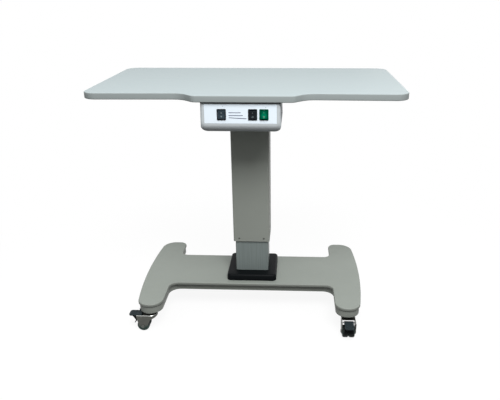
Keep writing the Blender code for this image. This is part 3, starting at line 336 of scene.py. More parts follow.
# Each finish: its kind, its name and what that kind takes
LOOKS = (
    (foil_finish, "foil_board", (0.338, 0.390, 0.399)),
    # The same foil, darker, for the board's edge: painted shade on its side.
    (foil_finish, "edge_strip", (0.288, 0.320, 0.318)),
    (paint_finish, "grey_paint", (0.192, 0.205, 0.186), 0.40),
    (paint_finish, "frame_paint", (0.250, 0.267, 0.242), 0.40),
    (paint_finish, "base_cover", (0.252, 0.275, 0.250), 0.42),
    (paint_finish, "box_paint", (0.515, 0.556, 0.573), 0.40, 0.08),
    (faceplate_finish, "faceplate"),
    (moulded_finish, "black_plastic", (0.0035, 0.0045, 0.0052), 0.36, 0.06),
    (moulded_finish, "pedal_tread", (0.020, 0.028, 0.032), 0.42, 0.10),
    (moulded_finish, "switch_black", (0.008, 0.011, 0.014), 0.30, 0.12),
    # A lighter copy of the black rocker plastic for the up and down rocker: painted light on its face.
    (moulded_finish, "rocker_black", (0.025, 0.040, 0.050), 0.30, 0.15),
    (paint_finish, "motor_black", (0.02, 0.02, 0.022), 0.4),
    (lens_finish, "green_lens"),
    (moulded_finish, "green_bezel", (0.001, 0.085, 0.045), 0.30, 0.03),
    (metal_finish, "steel", (0.40, 0.40, 0.41), (0.50, 0.50, 0.50), 0.28),
    (metal_finish, "zinc", (0.095, 0.100, 0.090), (0.13, 0.135, 0.125), 0.30),
    (fork_finish, "fork_zinc"),
    (metal_finish, "bronze", (0.50, 0.34, 0.14), (0.60, 0.42, 0.19), 0.28),
    (moulded_finish, "wheel_hub", (0.070, 0.105, 0.092), 0.42, 0.12),
    (moulded_finish, "wheel_polymer", (0.017, 0.021, 0.021), 0.45, 0.12),
    (circuit_finish, "circuit_board"),
    (moulded_finish, "legend", (0.20, 0.24, 0.25), 0.4),
    (paint_finish, "backing", (0.60, 0.61, 0.60), 0.5),
    (paint_finish, "outer_column", (0.292, 0.312, 0.283), 0.40),
    (paint_finish, "inner_column", (0.202, 0.237, 0.230), 0.36, 0.25, 0.30),
)
FINISHES = {name: kind(name, *values) for kind, name, *values in LOOKS}


# Surfaces

ARC_STEPS = 8
LIP_STEPS = 4
TURNED_STEPS = 5
CORNER_STEPS = 12
WIDE_ARC_STEPS = 16
ROUND_STEPS = 72
# An end cap's flat starts this many edge roundings in from the side
CAP_REACH = 1.1
SMOOTH_BELOW = math.radians(40.0)
FLAT_WITHIN = math.radians(0.5)
MERGE_WITHIN = 1e-6
# A front view stood upright, and a side view carried along x
UPRIGHT = np.array(((1, 0, 0), (0, 0, -1), (0, 1, 0)), float)
SIDEWAYS = np.array(((0, 0, 1), (1, 0, 0), (0, 1, 0)), float)


def rounded(corners, steps=ARC_STEPS, closed=True):
    """Points and outward normals of a counter-clockwise outline through corners (x, y, radius).

    Each corner is an arc. It starts radius * tan(turn / 2) before the corner, its normals turn evenly from
    one side's to the next side's, and each point lies radius along its normal from the arc's centre. An
    open outline keeps its two ends as points.
    """
    spots = np.array([corner[:2] for corner in corners], float)
    radii = np.array([corner[2] for corner in corners], float)
    into = spots - np.roll(spots, 1, axis=0)
    out = np.roll(spots, -1, axis=0) - spots
    if not closed:
        into[0] = out[0]
        out[-1] = into[-1]
    heading = np.arctan2(into[:, 1], into[:, 0])
    turn = np.arctan2(out[:, 1], out[:, 0]) - heading
    turn = (turn + math.pi) % math.tau - math.pi
    bend = np.sign(turn) * radii
    ahead = np.stack((np.cos(heading), np.sin(heading)), axis=-1)
    starts = spots - (radii * np.tan(np.abs(turn) / 2))[:, None] * ahead
    share = np.linspace(0.0, 1.0, steps + 1)
    headings = heading[:, None] + turn[:, None] * share
    normals = np.stack((np.sin(headings), -np.cos(headings)), axis=-1)
    centres = starts - bend[:, None] * normals[:, 0]
    points = centres[:, None] + bend[:, None, None] * normals
    kept = slice(None) if closed else slice(steps, -steps)
    return points.reshape(-1, 2)[kept], normals.reshape(-1, 2)[kept]


def rectangle(centre, size, radius, steps=ARC_STEPS):
    """The outline of a rectangle with rounded corners."""
    x, y = size[0] / 2, size[1] / 2
    signs = ((-1, -1), (1, -1), (1, 1), (-1, 1))
    return rounded([(centre[0] + a * x, centre[1] + b * y, radius) for a, b in signs], steps)


def wrapped(first, last, steps=ARC_STEPS):
    """An open profile round an edge, from one end's height, rounding and inward reach to the other's."""
    return rounded([
        (first[2], first[0], 0.0),
        (0.0, first[0], first[1]),
        (0.0, last[0], last[1]),
        (last[2], last[0], 0.0),
    ], steps, closed=False)


def carried(outline, profile):
    """A grid: the outline, drawn in by each profile point's first number and lifted by its second."""
    points, normals = outline
    insets, heights = profile[0].T
    flat = points - insets[:, None, None] * normals
    return np.concatenate((flat, np.broadcast_to(heights[:, None, None], (*flat.shape[:2], 1))), axis=2)


def lifted(outline, height):
    """A grid of one row: the outline at a height."""
    return np.pad(outline[0], ((0, 0), (0, 1)), constant_values=height)[None]


def lathe(profile, steps=ROUND_STEPS):
    """A grid: each profile point (radius, height) turned once round the third axis."""
    turn = np.arange(steps) * math.tau / steps
    ring = np.stack((np.cos(turn), np.sin(turn)), axis=-1)
    return carried((0.0 * ring, -ring), profile)


def placed(grid, turn=np.eye(3), offset=(0.0, 0.0, 0.0)):
    """A grid turned by a 3 by 3 matrix and then moved."""
    return grid @ np.asarray(turn).T + np.asarray(offset)


def about_z(angle):
    """The matrix of a turn about the third axis."""
    return np.array(Matrix.Rotation(angle, 3, "Z"))


class Skin:
    """The surfaces of one piece, gathered as points, faces, finish numbers and rim marks."""

    def __init__(self):
        self.points = []
        self.faces = []
        self.finishes = []
        self.marks = []
        self.count = 0

    def add(self, grid, finish=0, rows_close=False, first_finish=None, marks=None):
        """Adds a grid whose columns close into rings, and fills its end rows unless the rows close too.

        The finish is one number, or one for each row of faces. Rim marks come one for each point, or all
        are 0. The skin itself is given back.
        """
        rows, columns = grid.shape[:2]
        index = np.arange(rows * columns).reshape(rows, columns) + self.count
        low = index if rows_close else index[:-1]
        high = np.roll(index, -1, axis=0) if rows_close else index[1:]
        quads = np.stack((low, np.roll(low, -1, axis=1), np.roll(high, -1, axis=1), high), axis=-1)
        self.faces += quads.reshape(-1, 4).tolist()
        row_finishes = np.broadcast_to(finish, len(low)).tolist()
        self.finishes += np.repeat(row_finishes, columns).tolist()
        if not rows_close:
            self.faces += [index[0, ::-1].tolist(), index[-1].tolist()]
            self.finishes += [row_finishes[0] if first_finish is None else first_finish, row_finishes[-1]]
        self.points.append(grid.reshape(-1, 3))
        self.marks.append(np.zeros(rows * columns) if marks is None else marks.ravel())
        self.count += rows * columns
        return self

    def make(self, name, finishes, node=None, body=None, slot=None):
        """Makes the piece: in place of a node, with its body, or as one more with the body given. The slot is not
        used.
        """
        data = bpy.data.meshes.new(name)
        data.from_pydata(np.concatenate(self.points).tolist(), [], self.faces)
        data.polygons.foreach_set("material_index", self.finishes)
        rim = data.attributes.new("rim", "FLOAT", "POINT")
        rim.data.foreach_set("value", np.concatenate(self.marks))
        for finish in finishes:
            data.materials.append(FINISHES[finish])
        settle(name, data, body or BODIES[node], [node] if node else ())


def settle(name, data, body, replaces):
    """Makes an object of a mesh, shaded smooth where it is round, that rides on a body."""
    data.shade_smooth()
    data.set_sharp_from_angle(angle=SMOOTH_BELOW)
    piece = bpy.data.objects.new(name, data)
    bpy.context.scene.collection.objects.link(piece)
    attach(piece, body)
    if replaces:
        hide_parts(*replaces)
    return piece


def softened(node, edge):
    """A copy of a solid whose corners are merged, whose flats are made whole and whose edges are broken."""
    data = nodes[node].data.copy()
    mesh = bmesh.new()
    mesh.from_mesh(data)
    bmesh.ops.remove_doubles(mesh, verts=mesh.verts, dist=MERGE_WITHIN)
    bmesh.ops.dissolve_limit(mesh, angle_limit=FLAT_WITHIN, verts=mesh.verts, edges=mesh.edges)
    mesh.to_mesh(data)
    mesh.free()
    piece = settle(node + "_shown", data, BODIES[node], [node])
    broken = piece.modifiers.new("broken_edges", "BEVEL")
    broken.width = edge
    broken.segments = 2
    broken.limit_method = "ANGLE"
    broken.angle_limit = SMOOTH_BELOW
    broken.harden_normals = True


def box_of(node):
    """Lowest corner, highest corner and centre of a solid."""
    low, high = (np.array(corner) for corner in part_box(node))
    return low, high, (low + high) / 2


# Pieces

# Solids shown as softened copies, with the width of their broken edges
SOFTENED = {
    "base_frame": 0.0008,
    "foot_plate": 0.0006,
    "push_tube": 0.0004,
    "spindle_nut": 0.0004,
    "upper_glide_ring": 0.0003,
    "lower_glide_ring": 0.0003,
    "lift_spindle": 0.0004,
    "gearmotor": 0.0005,
    "top_plate": 0.0006,
    "control_box_lid": 0.0004,
    "faceplate": 0.0002,
    "mains_inlet": 0.0004,
    "power_supply": 0.0004,
    "control_board": 0.0002,
}

TOP_CORNER_RADIUS = 0.040
TOP_EDGE_ROUND = 0.0025
TOP_FOIL_WRAP = 0.014
EDGE_WALL_ROWS = 14
TOP_FRONT_SLANT = 0.0065
BULGE_DEPTH = 0.0388
BULGE_FLAT_WIDTH = 0.2816
BULGE_FOOT_WIDTH = 0.3574
BULGE_CREST_RADIUS = 0.025
BULGE_FOOT_RADIUS = 0.056


def make_tabletop():
    """The board: its outline swells in two S-curves, and its edge is carried round it with soft corners, in a
    darker copy of the foil that paints shade on the edge.
    """
    low, high, _ = box_of("tabletop")
    front = low[1] + BULGE_DEPTH
    foot, flat = BULGE_FOOT_WIDTH / 2, BULGE_FLAT_WIDTH / 2
    outline = rounded([
        (low[0], front - TOP_FRONT_SLANT, TOP_CORNER_RADIUS),
        (-foot, front, BULGE_FOOT_RADIUS),
        (-flat, low[1], BULGE_CREST_RADIUS),
        (flat, low[1], BULGE_CREST_RADIUS),
        (foot, front, BULGE_FOOT_RADIUS),
        (high[0], front - TOP_FRONT_SLANT, TOP_CORNER_RADIUS),
        (high[0], high[1], TOP_CORNER_RADIUS),
        (low[0], high[1], TOP_CORNER_RADIUS),
    ], WIDE_ARC_STEPS)
    edge = wrapped((low[2], TOP_EDGE_ROUND, TOP_FOIL_WRAP), (high[2], TOP_EDGE_ROUND, TOP_FOIL_WRAP))
    wall = np.arange(len(edge[0]) - 1) < EDGE_WALL_ROWS
    # The edge rows take the darker foil: painted shade on the board's edge.
    board = Skin().add(carried(outline, edge), wall.astype(int), first_finish=2)
    board.make("tabletop_board", ["foil_board", "edge_strip", "backing"], "tabletop")


COLUMN_WALL = 0.0025
COLUMN_CORNER = 0.005
COLUMN_LIP = 0.0009


def make_tube(node):
    """A column tube: a rounded rectangle, carried up outside, over the rim and down inside."""
    low, high, centre = box_of(node)
    outline = rectangle(centre, high - low, COLUMN_CORNER, CORNER_STEPS)
    wall = rounded([
        (0.0, low[2], COLUMN_LIP),
        (0.0, high[2], COLUMN_LIP),
        (COLUMN_WALL, high[2], COLUMN_LIP),
        (COLUMN_WALL, low[2], COLUMN_LIP),
    ], LIP_STEPS)
    tube = Skin().add(carried(outline, wall), rows_close=True)
    tube.make(node + "_tube", [node], node)


COLLAR_CORNER = 0.013
COLLAR_EDGE_ROUND = 0.007
COLLAR_WALL = 0.004
COLLAR_LIP = 0.0008
COLLAR_CROWN = 0.0012
MOUTH_GAP = 0.0004


def make_collar():
    """The moulded collar: up its outside, over a crowned top into the mouth, and back inside its wall."""
    low, high, centre = box_of("column_collar")
    tube_low, tube_high, tube_centre = box_of("inner_column")
    outline = rectangle(centre, high - low, COLLAR_CORNER, CORNER_STEPS)
    mouth = rectangle(tube_centre, tube_high - tube_low + 2 * MOUTH_GAP, COLUMN_WALL, CORNER_STEPS)
    shoulder = high[2] - COLLAR_CROWN
    outside = wrapped((low[2], COLLAR_LIP, COLLAR_WALL),
                      (shoulder, COLLAR_EDGE_ROUND, COLLAR_EDGE_ROUND + COLLAR_LIP))
    throat = wrapped((high[2], COLLAR_LIP, -2 * COLLAR_LIP),
                     (high[2] - COLLAR_WALL, COLLAR_LIP, -2 * COLLAR_LIP))
    inside = rounded([
        (2 * COLLAR_WALL, shoulder - COLLAR_WALL, 0.0),
        (COLLAR_WALL, shoulder - COLLAR_WALL, COLLAR_LIP),
        (COLLAR_WALL, low[2] + COLLAR_LIP, 0.0),
    ], closed=False)
    parts = (carried(outline, outside), carried(mouth, throat), carried(outline, inside))
    collar = Skin().add(np.concatenate(parts), rows_close=True)
    collar.make("column_collar_shell", ["black_plastic"], "column_collar")


FOOT_WIDTH = 0.0985
FOOT_FRONT_RADIUS = 0.040
FOOT_BACK_INNER_RADIUS = 0.026
FOOT_BACK_OUTER_RADIUS = 0.048
BEAM_FRONT_REACH = 0.1055
BEAM_BACK_REACH = 0.1045
BEAM_FRONT_FILLET = 0.028
BEAM_BACK_FILLET = 0.023
BASE_SIDE_ARC_RADIUS = 1.545
COVER_EDGE_ROUND = 0.004
COVER_LIP = 0.0012
COVER_RELIEF = 0.0018
FRAME_FOOT_INSET = 0.004
FRAME_BEAM_INSET = 0.015
FRAME_EDGE_ROUND = 0.0025
FRAME_SKIN = 0.0003
FRAME_RIM_DROP = 0.0012
FRAME_RIM_WALL = 0.0029
FRAME_RIM_LIP = 0.0003


def base_outline(foot_inset=0.0, beam_inset=0.0):
    """The H in plan, right half first: the bowed side of a foot is one wide arc between its round ends.

    The feet and the beam may be drawn in by insets of their own.
    """
    low, high, _ = box_of("base_cover")
    axis_y = box_of("outer_column")[2][1]
    half = high[0] - foot_inset
    front, back = low[1] - axis_y + foot_inset, high[1] - axis_y - foot_inset
    inner = high[0] - FOOT_WIDTH + foot_inset
    radius = BASE_SIDE_ARC_RADIUS - foot_inset
    front_radius = FOOT_FRONT_RADIUS - foot_inset
    back_radius = FOOT_BACK_OUTER_RADIUS - foot_inset
    fillet = (foot_inset + beam_inset) / 2
    start = math.asin((front + front_radius) / radius)
    stop = math.asin((back - back_radius) / radius)
    middle, spread = (start + stop) / 2, (stop - start) / 2
    reach = radius / math.cos(spread)

    def along(turn, y):
        """Where the arc's tangent at a turn meets the line at y."""
        return half - radius + radius * math.cos(turn) - (y - radius * math.sin(turn)) * math.tan(turn)

    right = [
        (inner, beam_inset - BEAM_FRONT_REACH, BEAM_FRONT_FILLET + fillet),
        (inner, front, front_radius),
        (along(start, front), front, front_radius),
        (half - radius + reach * math.cos(middle), reach * math.sin(middle), radius),
        (along(stop, back), back, back_radius),
        (inner, back, FOOT_BACK_INNER_RADIUS - foot_inset),
        (inner, BEAM_BACK_REACH - beam_inset, BEAM_BACK_FILLET + fillet),
    ]
    left = [(-x, y, corner) for x, y, corner in reversed(right)]
    return rounded([(x, y + axis_y, corner) for x, y, corner in right + left], WIDE_ARC_STEPS)


def make_base_cover():
    """The cover plate, its rolled edge carried round the H, its side painted darker than its top as shade."""
    low, high, _ = box_of("base_cover")
    reach = 2 * COVER_EDGE_ROUND
    edge = wrapped((low[2] + COVER_RELIEF, COVER_LIP, reach), (high[2], COVER_EDGE_ROUND, reach))
    wall = np.arange(len(edge[0]) - 1) < EDGE_WALL_ROWS
    # The wall rows take grey_paint, darker than the top's base_cover finish: painted shade on the cover's side.
    cover = Skin().add(carried(base_outline(), edge), wall.astype(int))
    cover.make("base_cover_plate", ["base_cover", "grey_paint"], "base_cover")


def make_frame_rim():
    """The frame's painted rim: a closed band round its wall, whose lower edge rolls under."""
    low, high, _ = box_of("base_frame")
    outline = base_outline(FRAME_FOOT_INSET - FRAME_SKIN, FRAME_BEAM_INSET - FRAME_SKIN)
    section = rounded([
        (0.0, low[2] - FRAME_RIM_DROP, FRAME_EDGE_ROUND),
        (0.0, high[2] - FRAME_SKIN, FRAME_RIM_LIP),
        (FRAME_RIM_WALL, high[2] - FRAME_SKIN, FRAME_RIM_LIP),
        (FRAME_RIM_WALL, low[2] - FRAME_RIM_DROP, FRAME_RIM_LIP),
    ])
    rim = Skin().add(carried(outline, section), rows_close=True)
    rim.make("base_frame_rim", ["frame_paint"], body="base", slot="grey_paint")


BOX_LOWER_RADIUS = 0.019
BOX_UPPER_RADIUS = 0.001
BOX_SIDE_ROUND = 0.006
BOX_BOTTOM_ROUND = 0.0225
BOX_BOTTOM_DEPTH = 0.020
BOX_BOTTOM_SAG = 0.004
BOX_ROLL_POWER = 1.25
BOX_DRAFT = 0.002
BOX_WALL = 0.003
BOX_WALL_SHARE = 0.5
PANEL_LEDGE = 0.004
PANEL_GAP = 0.0003


def box_row(drawn, sunk, end, toward):
    """The box's front view near one end: a share drawn in, and a share sunk back from that end.

    The top edge is kept. Down the lower corners, as the outline's normal turns to the floor, the sink grows
    from the sides' rounding to the bottom's.
    """
    low, high, _ = box_of("control_box")
    inset = BOX_SIDE_ROUND * drawn
    left, right = low[0] + inset, high[0] - inset
    floor = low[2] - BOX_BOTTOM_SAG + BOX_BOTTOM_ROUND * drawn
    outline = rounded([
        (left, floor, BOX_LOWER_RADIUS - inset),
        (right, floor, BOX_LOWER_RADIUS - inset),
        (right - BOX_DRAFT, high[2], BOX_UPPER_RADIUS),
        (left + BOX_DRAFT, high[2], BOX_UPPER_RADIUS),
    ])
    fall = np.clip(-outline[1][:, 1], 0.0, 1.0) ** 2
    row = lifted(outline, end)
    row[..., 2] -= toward * sunk * (BOX_SIDE_ROUND + (BOX_BOTTOM_DEPTH - BOX_SIDE_ROUND) * fall)
    return row


def make_control_box():
    """The housing, one closed shell: rows of its front view, from rear to front and back inside.

    At each end a quarter turn draws the sides in by one radius and the bottom by a larger one. The front
    then steps in to the faceplate's recess and its opening, and the rear to the inlet's window.
    """
    low, high, _ = box_of("control_box")
    back, front = -high[1], -low[1]
    panel_low, panel_high, panel_centre = box_of("faceplate")
    panel_size = (panel_high - panel_low)[[0, 2]]
    inlet_low, inlet_high, inlet_centre = box_of("mains_inlet")
    inlet_size = (inlet_high - inlet_low)[[0, 2]]
    turn = np.linspace(0.0, math.pi / 2, ARC_STEPS + 1)
    shares = list(zip(1.0 - np.cos(turn) ** BOX_ROLL_POWER, 1.0 - np.sin(turn) ** BOX_ROLL_POWER))
    rear_rim = [box_row(drawn, sunk, back, -1.0) for drawn, sunk in reversed(shares)]
    front_rim = [box_row(drawn, sunk, front, 1.0) for drawn, sunk in shares]
    recess = rectangle(panel_centre[[0, 2]], panel_size + 2 * PANEL_GAP, BOX_UPPER_RADIUS)
    opening = rectangle(panel_centre[[0, 2]], panel_size - 2 * PANEL_LEDGE, BOX_UPPER_RADIUS)
    window = rectangle(inlet_centre[[0, 2]], inlet_size - PANEL_LEDGE, BOX_UPPER_RADIUS)
    ledge = front - (panel_high[1] - panel_low[1]) - PANEL_GAP
    inner = [box_row(BOX_WALL_SHARE, 0.0, depth, 1.0) for depth in (ledge - BOX_WALL, back + BOX_WALL)]
    for row in inner:
        row[..., 1] = np.minimum(row[..., 1], high[2] - BOX_WALL)
    rows = [lifted(window, back + BOX_WALL), lifted(window, back), *rear_rim, *front_rim,
            lifted(recess, front), lifted(recess, ledge), lifted(opening, ledge),
            lifted(opening, ledge - BOX_WALL), *inner]
    box = Skin().add(placed(np.concatenate(rows), UPRIGHT), rows_close=True)
    box.make("control_box_housing", ["box_paint"], "control_box")


BEZEL_CORNER = 0.0022
BEZEL_ROUND = 0.0006
BODY_LIP = 0.0009
POCKET_DEPTH = 0.0125
ROCKER_RADIUS = 0.0132
ROCKER_CORNER_ANGLE = math.radians(29.0)
ROCKER_WAIST = 0.0045
ROCKER_WAIST_ROUND = 0.012
ROCKER_BACK = 0.0040
ROCKER_SIDE_ROUND = 0.0005
ROCKER_TILT = math.radians(7.0)
LEGEND_RAISE = 0.00012
LEGEND_HEIGHT = 0.0046
LEGEND_STROKE = 0.0007
LEGEND_STEPS = 2
LEGEND_RING_STEPS = 32


def make_switch(name, finish, slot=None):
    """A switch body: its sides, out over the bezel's lip and round edge, then into the rocker's pocket."""
    low, high, centre = box_of(f"{name}_switch")
    rocker_low, rocker_high, _ = box_of(f"{name}_rocker")
    size = (high - low)[[0, 2]]
    back, face = -high[1], -low[1]
    seat = -box_of("faceplate")[0][1]
    middle = centre[[0, 2]]
    body = rectangle(middle, size - 2 * BODY_LIP, BODY_LIP)
    bezel = rectangle(middle, size, BEZEL_CORNER)
    mouth_size = np.array(((rocker_high - rocker_low)[0] + 2 * MOUTH_GAP, 2 * (ROCKER_RADIUS + MOUTH_GAP)))
    mouth = rectangle(middle, mouth_size, BEZEL_ROUND)
    edge = rounded([
        (0.0, seat, 0.0),
        (0.0, face, BEZEL_ROUND),
        (2 * BEZEL_ROUND, face, 0.0),
    ], LIP_STEPS, closed=False)
    rim = rounded([
        (-2 * BEZEL_ROUND, face, 0.0),
        (0.0, face, BEZEL_ROUND / 2),
        (0.0, face - POCKET_DEPTH, 0.0),
    ], LIP_STEPS, closed=False)
    rows = (lifted(body, back), lifted(body, seat), carried(bezel, edge), carried(mouth, rim))
    switch = Skin().add(placed(np.concatenate(rows), UPRIGHT))
    switch.make(f"{name}_switch_body", [finish], f"{name}_switch", slot=slot)


def make_rocker(name, finish, tilt, upper_mark, lower_mark):
    """A rocker: its side view, two faces that meet in a hollow, carried across with soft side edges.

    Each face carries a raised mark in its middle, drawn in the face's own plane.
    """
    low, high, _ = box_of(f"{name}_rocker")
    pivot = np.array(pivot_of(f"{name}_press"))
    out = ROCKER_RADIUS * math.sin(ROCKER_CORNER_ANGLE)
    tall = ROCKER_RADIUS * math.cos(ROCKER_CORNER_ANGLE)
    side_view = rounded([
        (-out, tall, BEZEL_ROUND),
        (-ROCKER_WAIST, 0.0, ROCKER_WAIST_ROUND),
        (-out, -tall, BEZEL_ROUND),
        (ROCKER_BACK, -tall, BEZEL_ROUND),
        (ROCKER_BACK, tall, BEZEL_ROUND),
    ])
    half = (high - low)[0] / 2
    reach = CAP_REACH * ROCKER_SIDE_ROUND
    across = wrapped((-half, ROCKER_SIDE_ROUND, reach), (half, ROCKER_SIDE_ROUND, reach), LIP_STEPS)
    turn = np.array(Matrix.Rotation(tilt, 3, "X"))
    rocker = Skin()
    rocker.add(placed(placed(carried(side_view, across), SIDEWAYS), turn, pivot))
    lean = math.atan2(out - ROCKER_WAIST, tall)
    for side, (mark, hollow) in ((1, upper_mark), (-1, lower_mark)):
        middle = np.array((0.0, -(out + ROCKER_WAIST) / 2, side * tall / 2))
        face = turn @ np.array(Matrix.Rotation(side * lean, 3, "X")) @ UPRIGHT
        rocker.add(placed(mark, face, pivot + turn @ middle), finish=1, rows_close=hollow)
    rocker.make(f"{name}_rocker_key", [finish, "legend"], f"{name}_rocker")


def raised(outline):
    """A flat mark: an outline from just under the face to just over it."""
    return np.concatenate([lifted(outline, depth) for depth in (-LEGEND_RAISE, LEGEND_RAISE)])


def bar_mark():
    """The on sign: an upright bar. The second value says that its rows don't close."""
    size = (LEGEND_STROKE, LEGEND_HEIGHT)
    return raised(rectangle((0.0, 0.0), size, LEGEND_STROKE / 4, LEGEND_STEPS)), False


def ring_mark():
    """The off sign: a flat ring, its square section turned once round, so that its rows close."""
    outer, inner = LEGEND_HEIGHT / 2, LEGEND_HEIGHT / 2 - LEGEND_STROKE
    section = [(outer, -LEGEND_RAISE), (outer, LEGEND_RAISE), (inner, LEGEND_RAISE), (inner, -LEGEND_RAISE)]
    return lathe((np.array(section),), LEGEND_RING_STEPS), True


def arrow_mark(direction):
    """A triangle that points up or down."""
    half = LEGEND_HEIGHT / 2
    corners = [(-half, -direction * half), (half, -direction * half), (0.0, direction * half)]
    outline = [(x, y, LEGEND_STROKE / 4) for x, y in corners[::direction]]
    return raised(rounded(outline, LEGEND_STEPS)), False


SCREW_DOME = 0.96
SCREW_CROSS_REACH = 0.62
SCREW_CROSS_WIDTH = 0.20
SCREW_CROSS_SLOPE = 0.10
SCREW_CROSS_DEPTH = 0.7
SCREW_MIDDLE = 0.02
SCREW_STEPS = 24
GLIDE_SCREW_HEAD = (0.0032, 0.0012)
GLIDE_SCREW_SHANK = 0.0015
PLATE_SCREW_HEAD = (0.0058, 0.0026)
PLATE_SCREW_INSET = 0.016
INLET_PINS = ((-0.007, -0.0015), (0.0, 0.0025), (0.007, -0.0015))
INLET_PIN_SIZE = (0.002, 0.004)
INLET_SOCKET_DEPTH = 0.0148
INLET_PIN_LENGTH = 0.012


def screw_head(radius, height):
    """A pan head: domed as the root of one less the fourth power of the reach, with a cross pressed in.

    The cross is sunk where the lesser of the two distances from its arms' middles is small and the greater
    one is short of the arms' ends, both with sloping sides.
    """
    reach = np.linspace(1.0, SCREW_MIDDLE, SCREW_STEPS)[:, None]
    angle = np.arange(ROUND_STEPS)[None] * math.tau / ROUND_STEPS
    x, y = reach * np.cos(angle), reach * np.sin(angle)
    near, far = np.minimum(np.abs(x), np.abs(y)), np.maximum(np.abs(x), np.abs(y))
    inside = np.clip((SCREW_CROSS_REACH - far) / SCREW_CROSS_SLOPE, 0.0, 1.0)
    sunk = inside * np.clip((SCREW_CROSS_WIDTH - near) / SCREW_CROSS_SLOPE, 0.0, 1.0)
    dome = np.sqrt(1.0 - (SCREW_DOME * reach) ** 4)
    return np.stack((radius * x, radius * y, height * (dome - SCREW_CROSS_DEPTH * sunk)), axis=-1)


def make_glide_screw(name, face):
    """A glide ring's screw: its head on the column's front or rear face, and its shank in the wall."""
    low, high, centre = box_of(name)
    radius, height = GLIDE_SCREW_HEAD
    turn = about_z(0.0 if face < 0 else math.pi) @ UPRIGHT
    seat = centre + (0.0, face * ((high - low)[1] / 2 - height), 0.0)
    shank = np.array([(GLIDE_SCREW_SHANK, height - (high - low)[1]), (GLIDE_SCREW_SHANK, 0.0)])
    screw = Skin()
    screw.add(placed(screw_head(radius, height), turn, seat))
    screw.add(placed(lathe((shank,), SCREW_STEPS), turn, seat))
    screw.make(name + "_head", ["zinc"], name)


def make_plate_screws():
    """Four screws that hold the top plate up against the board, one in each corner hole."""
    low, high, _ = box_of("top_plate")
    down = np.diag((1.0, -1.0, -1.0))
    screws = Skin()
    for x in (low[0] + PLATE_SCREW_INSET, high[0] - PLATE_SCREW_INSET):
        for y in (low[1] + PLATE_SCREW_INSET, high[1] - PLATE_SCREW_INSET):
            screws.add(placed(screw_head(*PLATE_SCREW_HEAD), down, (x, y, low[2])))
    screws.make("top_plate_screws", ["zinc"], body="lift", slot="zinc")


def make_inlet_pins():
    """The three blades in the mains inlet's socket."""
    _, high, centre = box_of("mains_inlet")
    floor = high[1] - INLET_SOCKET_DEPTH
    pins = Skin()
    for x, z in INLET_PINS:
        blade = rectangle((centre[0] + x, centre[2] + z), INLET_PIN_SIZE, INLET_PIN_SIZE[0] / 4, LIP_STEPS)
        rows = [lifted(blade, -y) for y in (floor + INLET_PIN_LENGTH, floor)]
        pins.add(placed(np.concatenate(rows), UPRIGHT))
    pins.make("mains_inlet_pins", ["steel"], body="lift", slot="steel")


# Casters: x runs along the trail, y across the wheels

WHEEL_BORE = 0.0038
WHEEL_SHOULDER = 0.0055
WHEEL_INNER_ROUND = 0.0050
WHEEL_TREAD = 0.0065
WHEEL_BAND = 0.0012
WHEEL_DISH = 0.0025
WHEEL_HUB_RADIUS = 0.0075
SMALL_ROUND = 0.0006
RIVET_RADIUS = 0.0058
RIVET_HEIGHT = 0.0014
AXLE_RADIUS = 0.0034
RACE_RADIUS = 0.0175
FLANGE_HEIGHT = 0.0035
KINGPIN_RADIUS = 0.0055
KINGPIN_HEAD_RADIUS = 0.0085
KINGPIN_HEAD_HEIGHT = 0.0024
KINGPIN_HEAD_ROUND = 0.00192
STEM_RADIUS = 0.0050
STEM_LENGTH = 0.012
PIN_RADIUS = 0.0015
PIN_HEAD_RADIUS = 0.0026
PIN_HEAD_HEIGHT = 0.0007
RIVET_STEPS = 40
FORK_EDGE = 0.0004
FORK_BEND = 0.0035
FORK_SHEET = 0.0022
FORK_BOSS = 0.0110
FORK_BOSS_DROP = 0.0068
FORK_APRON = 0.008
FORK_HOOD_END = 0.0205
FORK_BORE = 0.0082
FORK_STEPS = 32
PEDAL_THICKNESS = 0.0045
PEDAL_BARREL_RADIUS = 0.0045
PEDAL_HUB_ROUND = 0.0042
PEDAL_EDGE_ROUND = 0.0015
PEDAL_SIDE_ROUND = 0.0005
PEDAL_HEEL_CORNER = 0.0035
PEDAL_TOE_CORNER = 0.008
PEDAL_RIBS = 5
PEDAL_RIB_PITCH = 0.0036
PEDAL_RIB_WIDTH = 0.0015
PEDAL_RIB_HEIGHT = 0.0006
PEDAL_RIB_END_ROUND = PEDAL_RIB_WIDTH / 2.1
PEDAL_RIB_CROWN_REACH = PEDAL_RIB_WIDTH / 2.2
PEDAL_RIB_STEPS = 6
PEDAL_SHOE_THICKNESS = 0.005
PEDAL_SHOE_REACH = 0.0120
PEDAL_SHOE_DROP = 0.0165
PEDAL_GUSSET_REACH = 0.0305
PEDAL_LIP_REACH = 0.0265
PEDAL_LIP_THICKNESS = 0.003
SPRING_WIRE = 0.0005
SPRING_PITCH = 0.00105
SPRING_TURNS = 3
SPRING_TURN_STEPS = 24
SPRING_WIRE_STEPS = 10


def caster_frame(name):
    """The swivel's foot on the floor, the turn from the caster's own axes to the world's, and the trail."""
    head, axle = box_of(f"{name}_swivel_head")[2], box_of(f"{name}_axle")[2]
    heading = math.atan2(axle[1] - head[1], axle[0] - head[0])
    return np.array((head[0], head[1], 0.0)), about_z(heading), math.hypot(*(axle - head)[:2])


def caster_box(name, node):
    """Lowest corner, highest corner and centre of one of a caster's solids, in the caster's own axes."""
    origin, turn, _ = caster_frame(name)
    corners = (np.stack(box_of(f"{name}_{node}")[:2]) - origin) @ turn
    return corners.min(axis=0), corners.max(axis=0), corners.mean(axis=0)


def mirrored(corners):
    """Corners and, in reverse, their mirror images across the caster."""
    return corners + [(x, -y, radius) for x, y, radius in reversed(corners)]


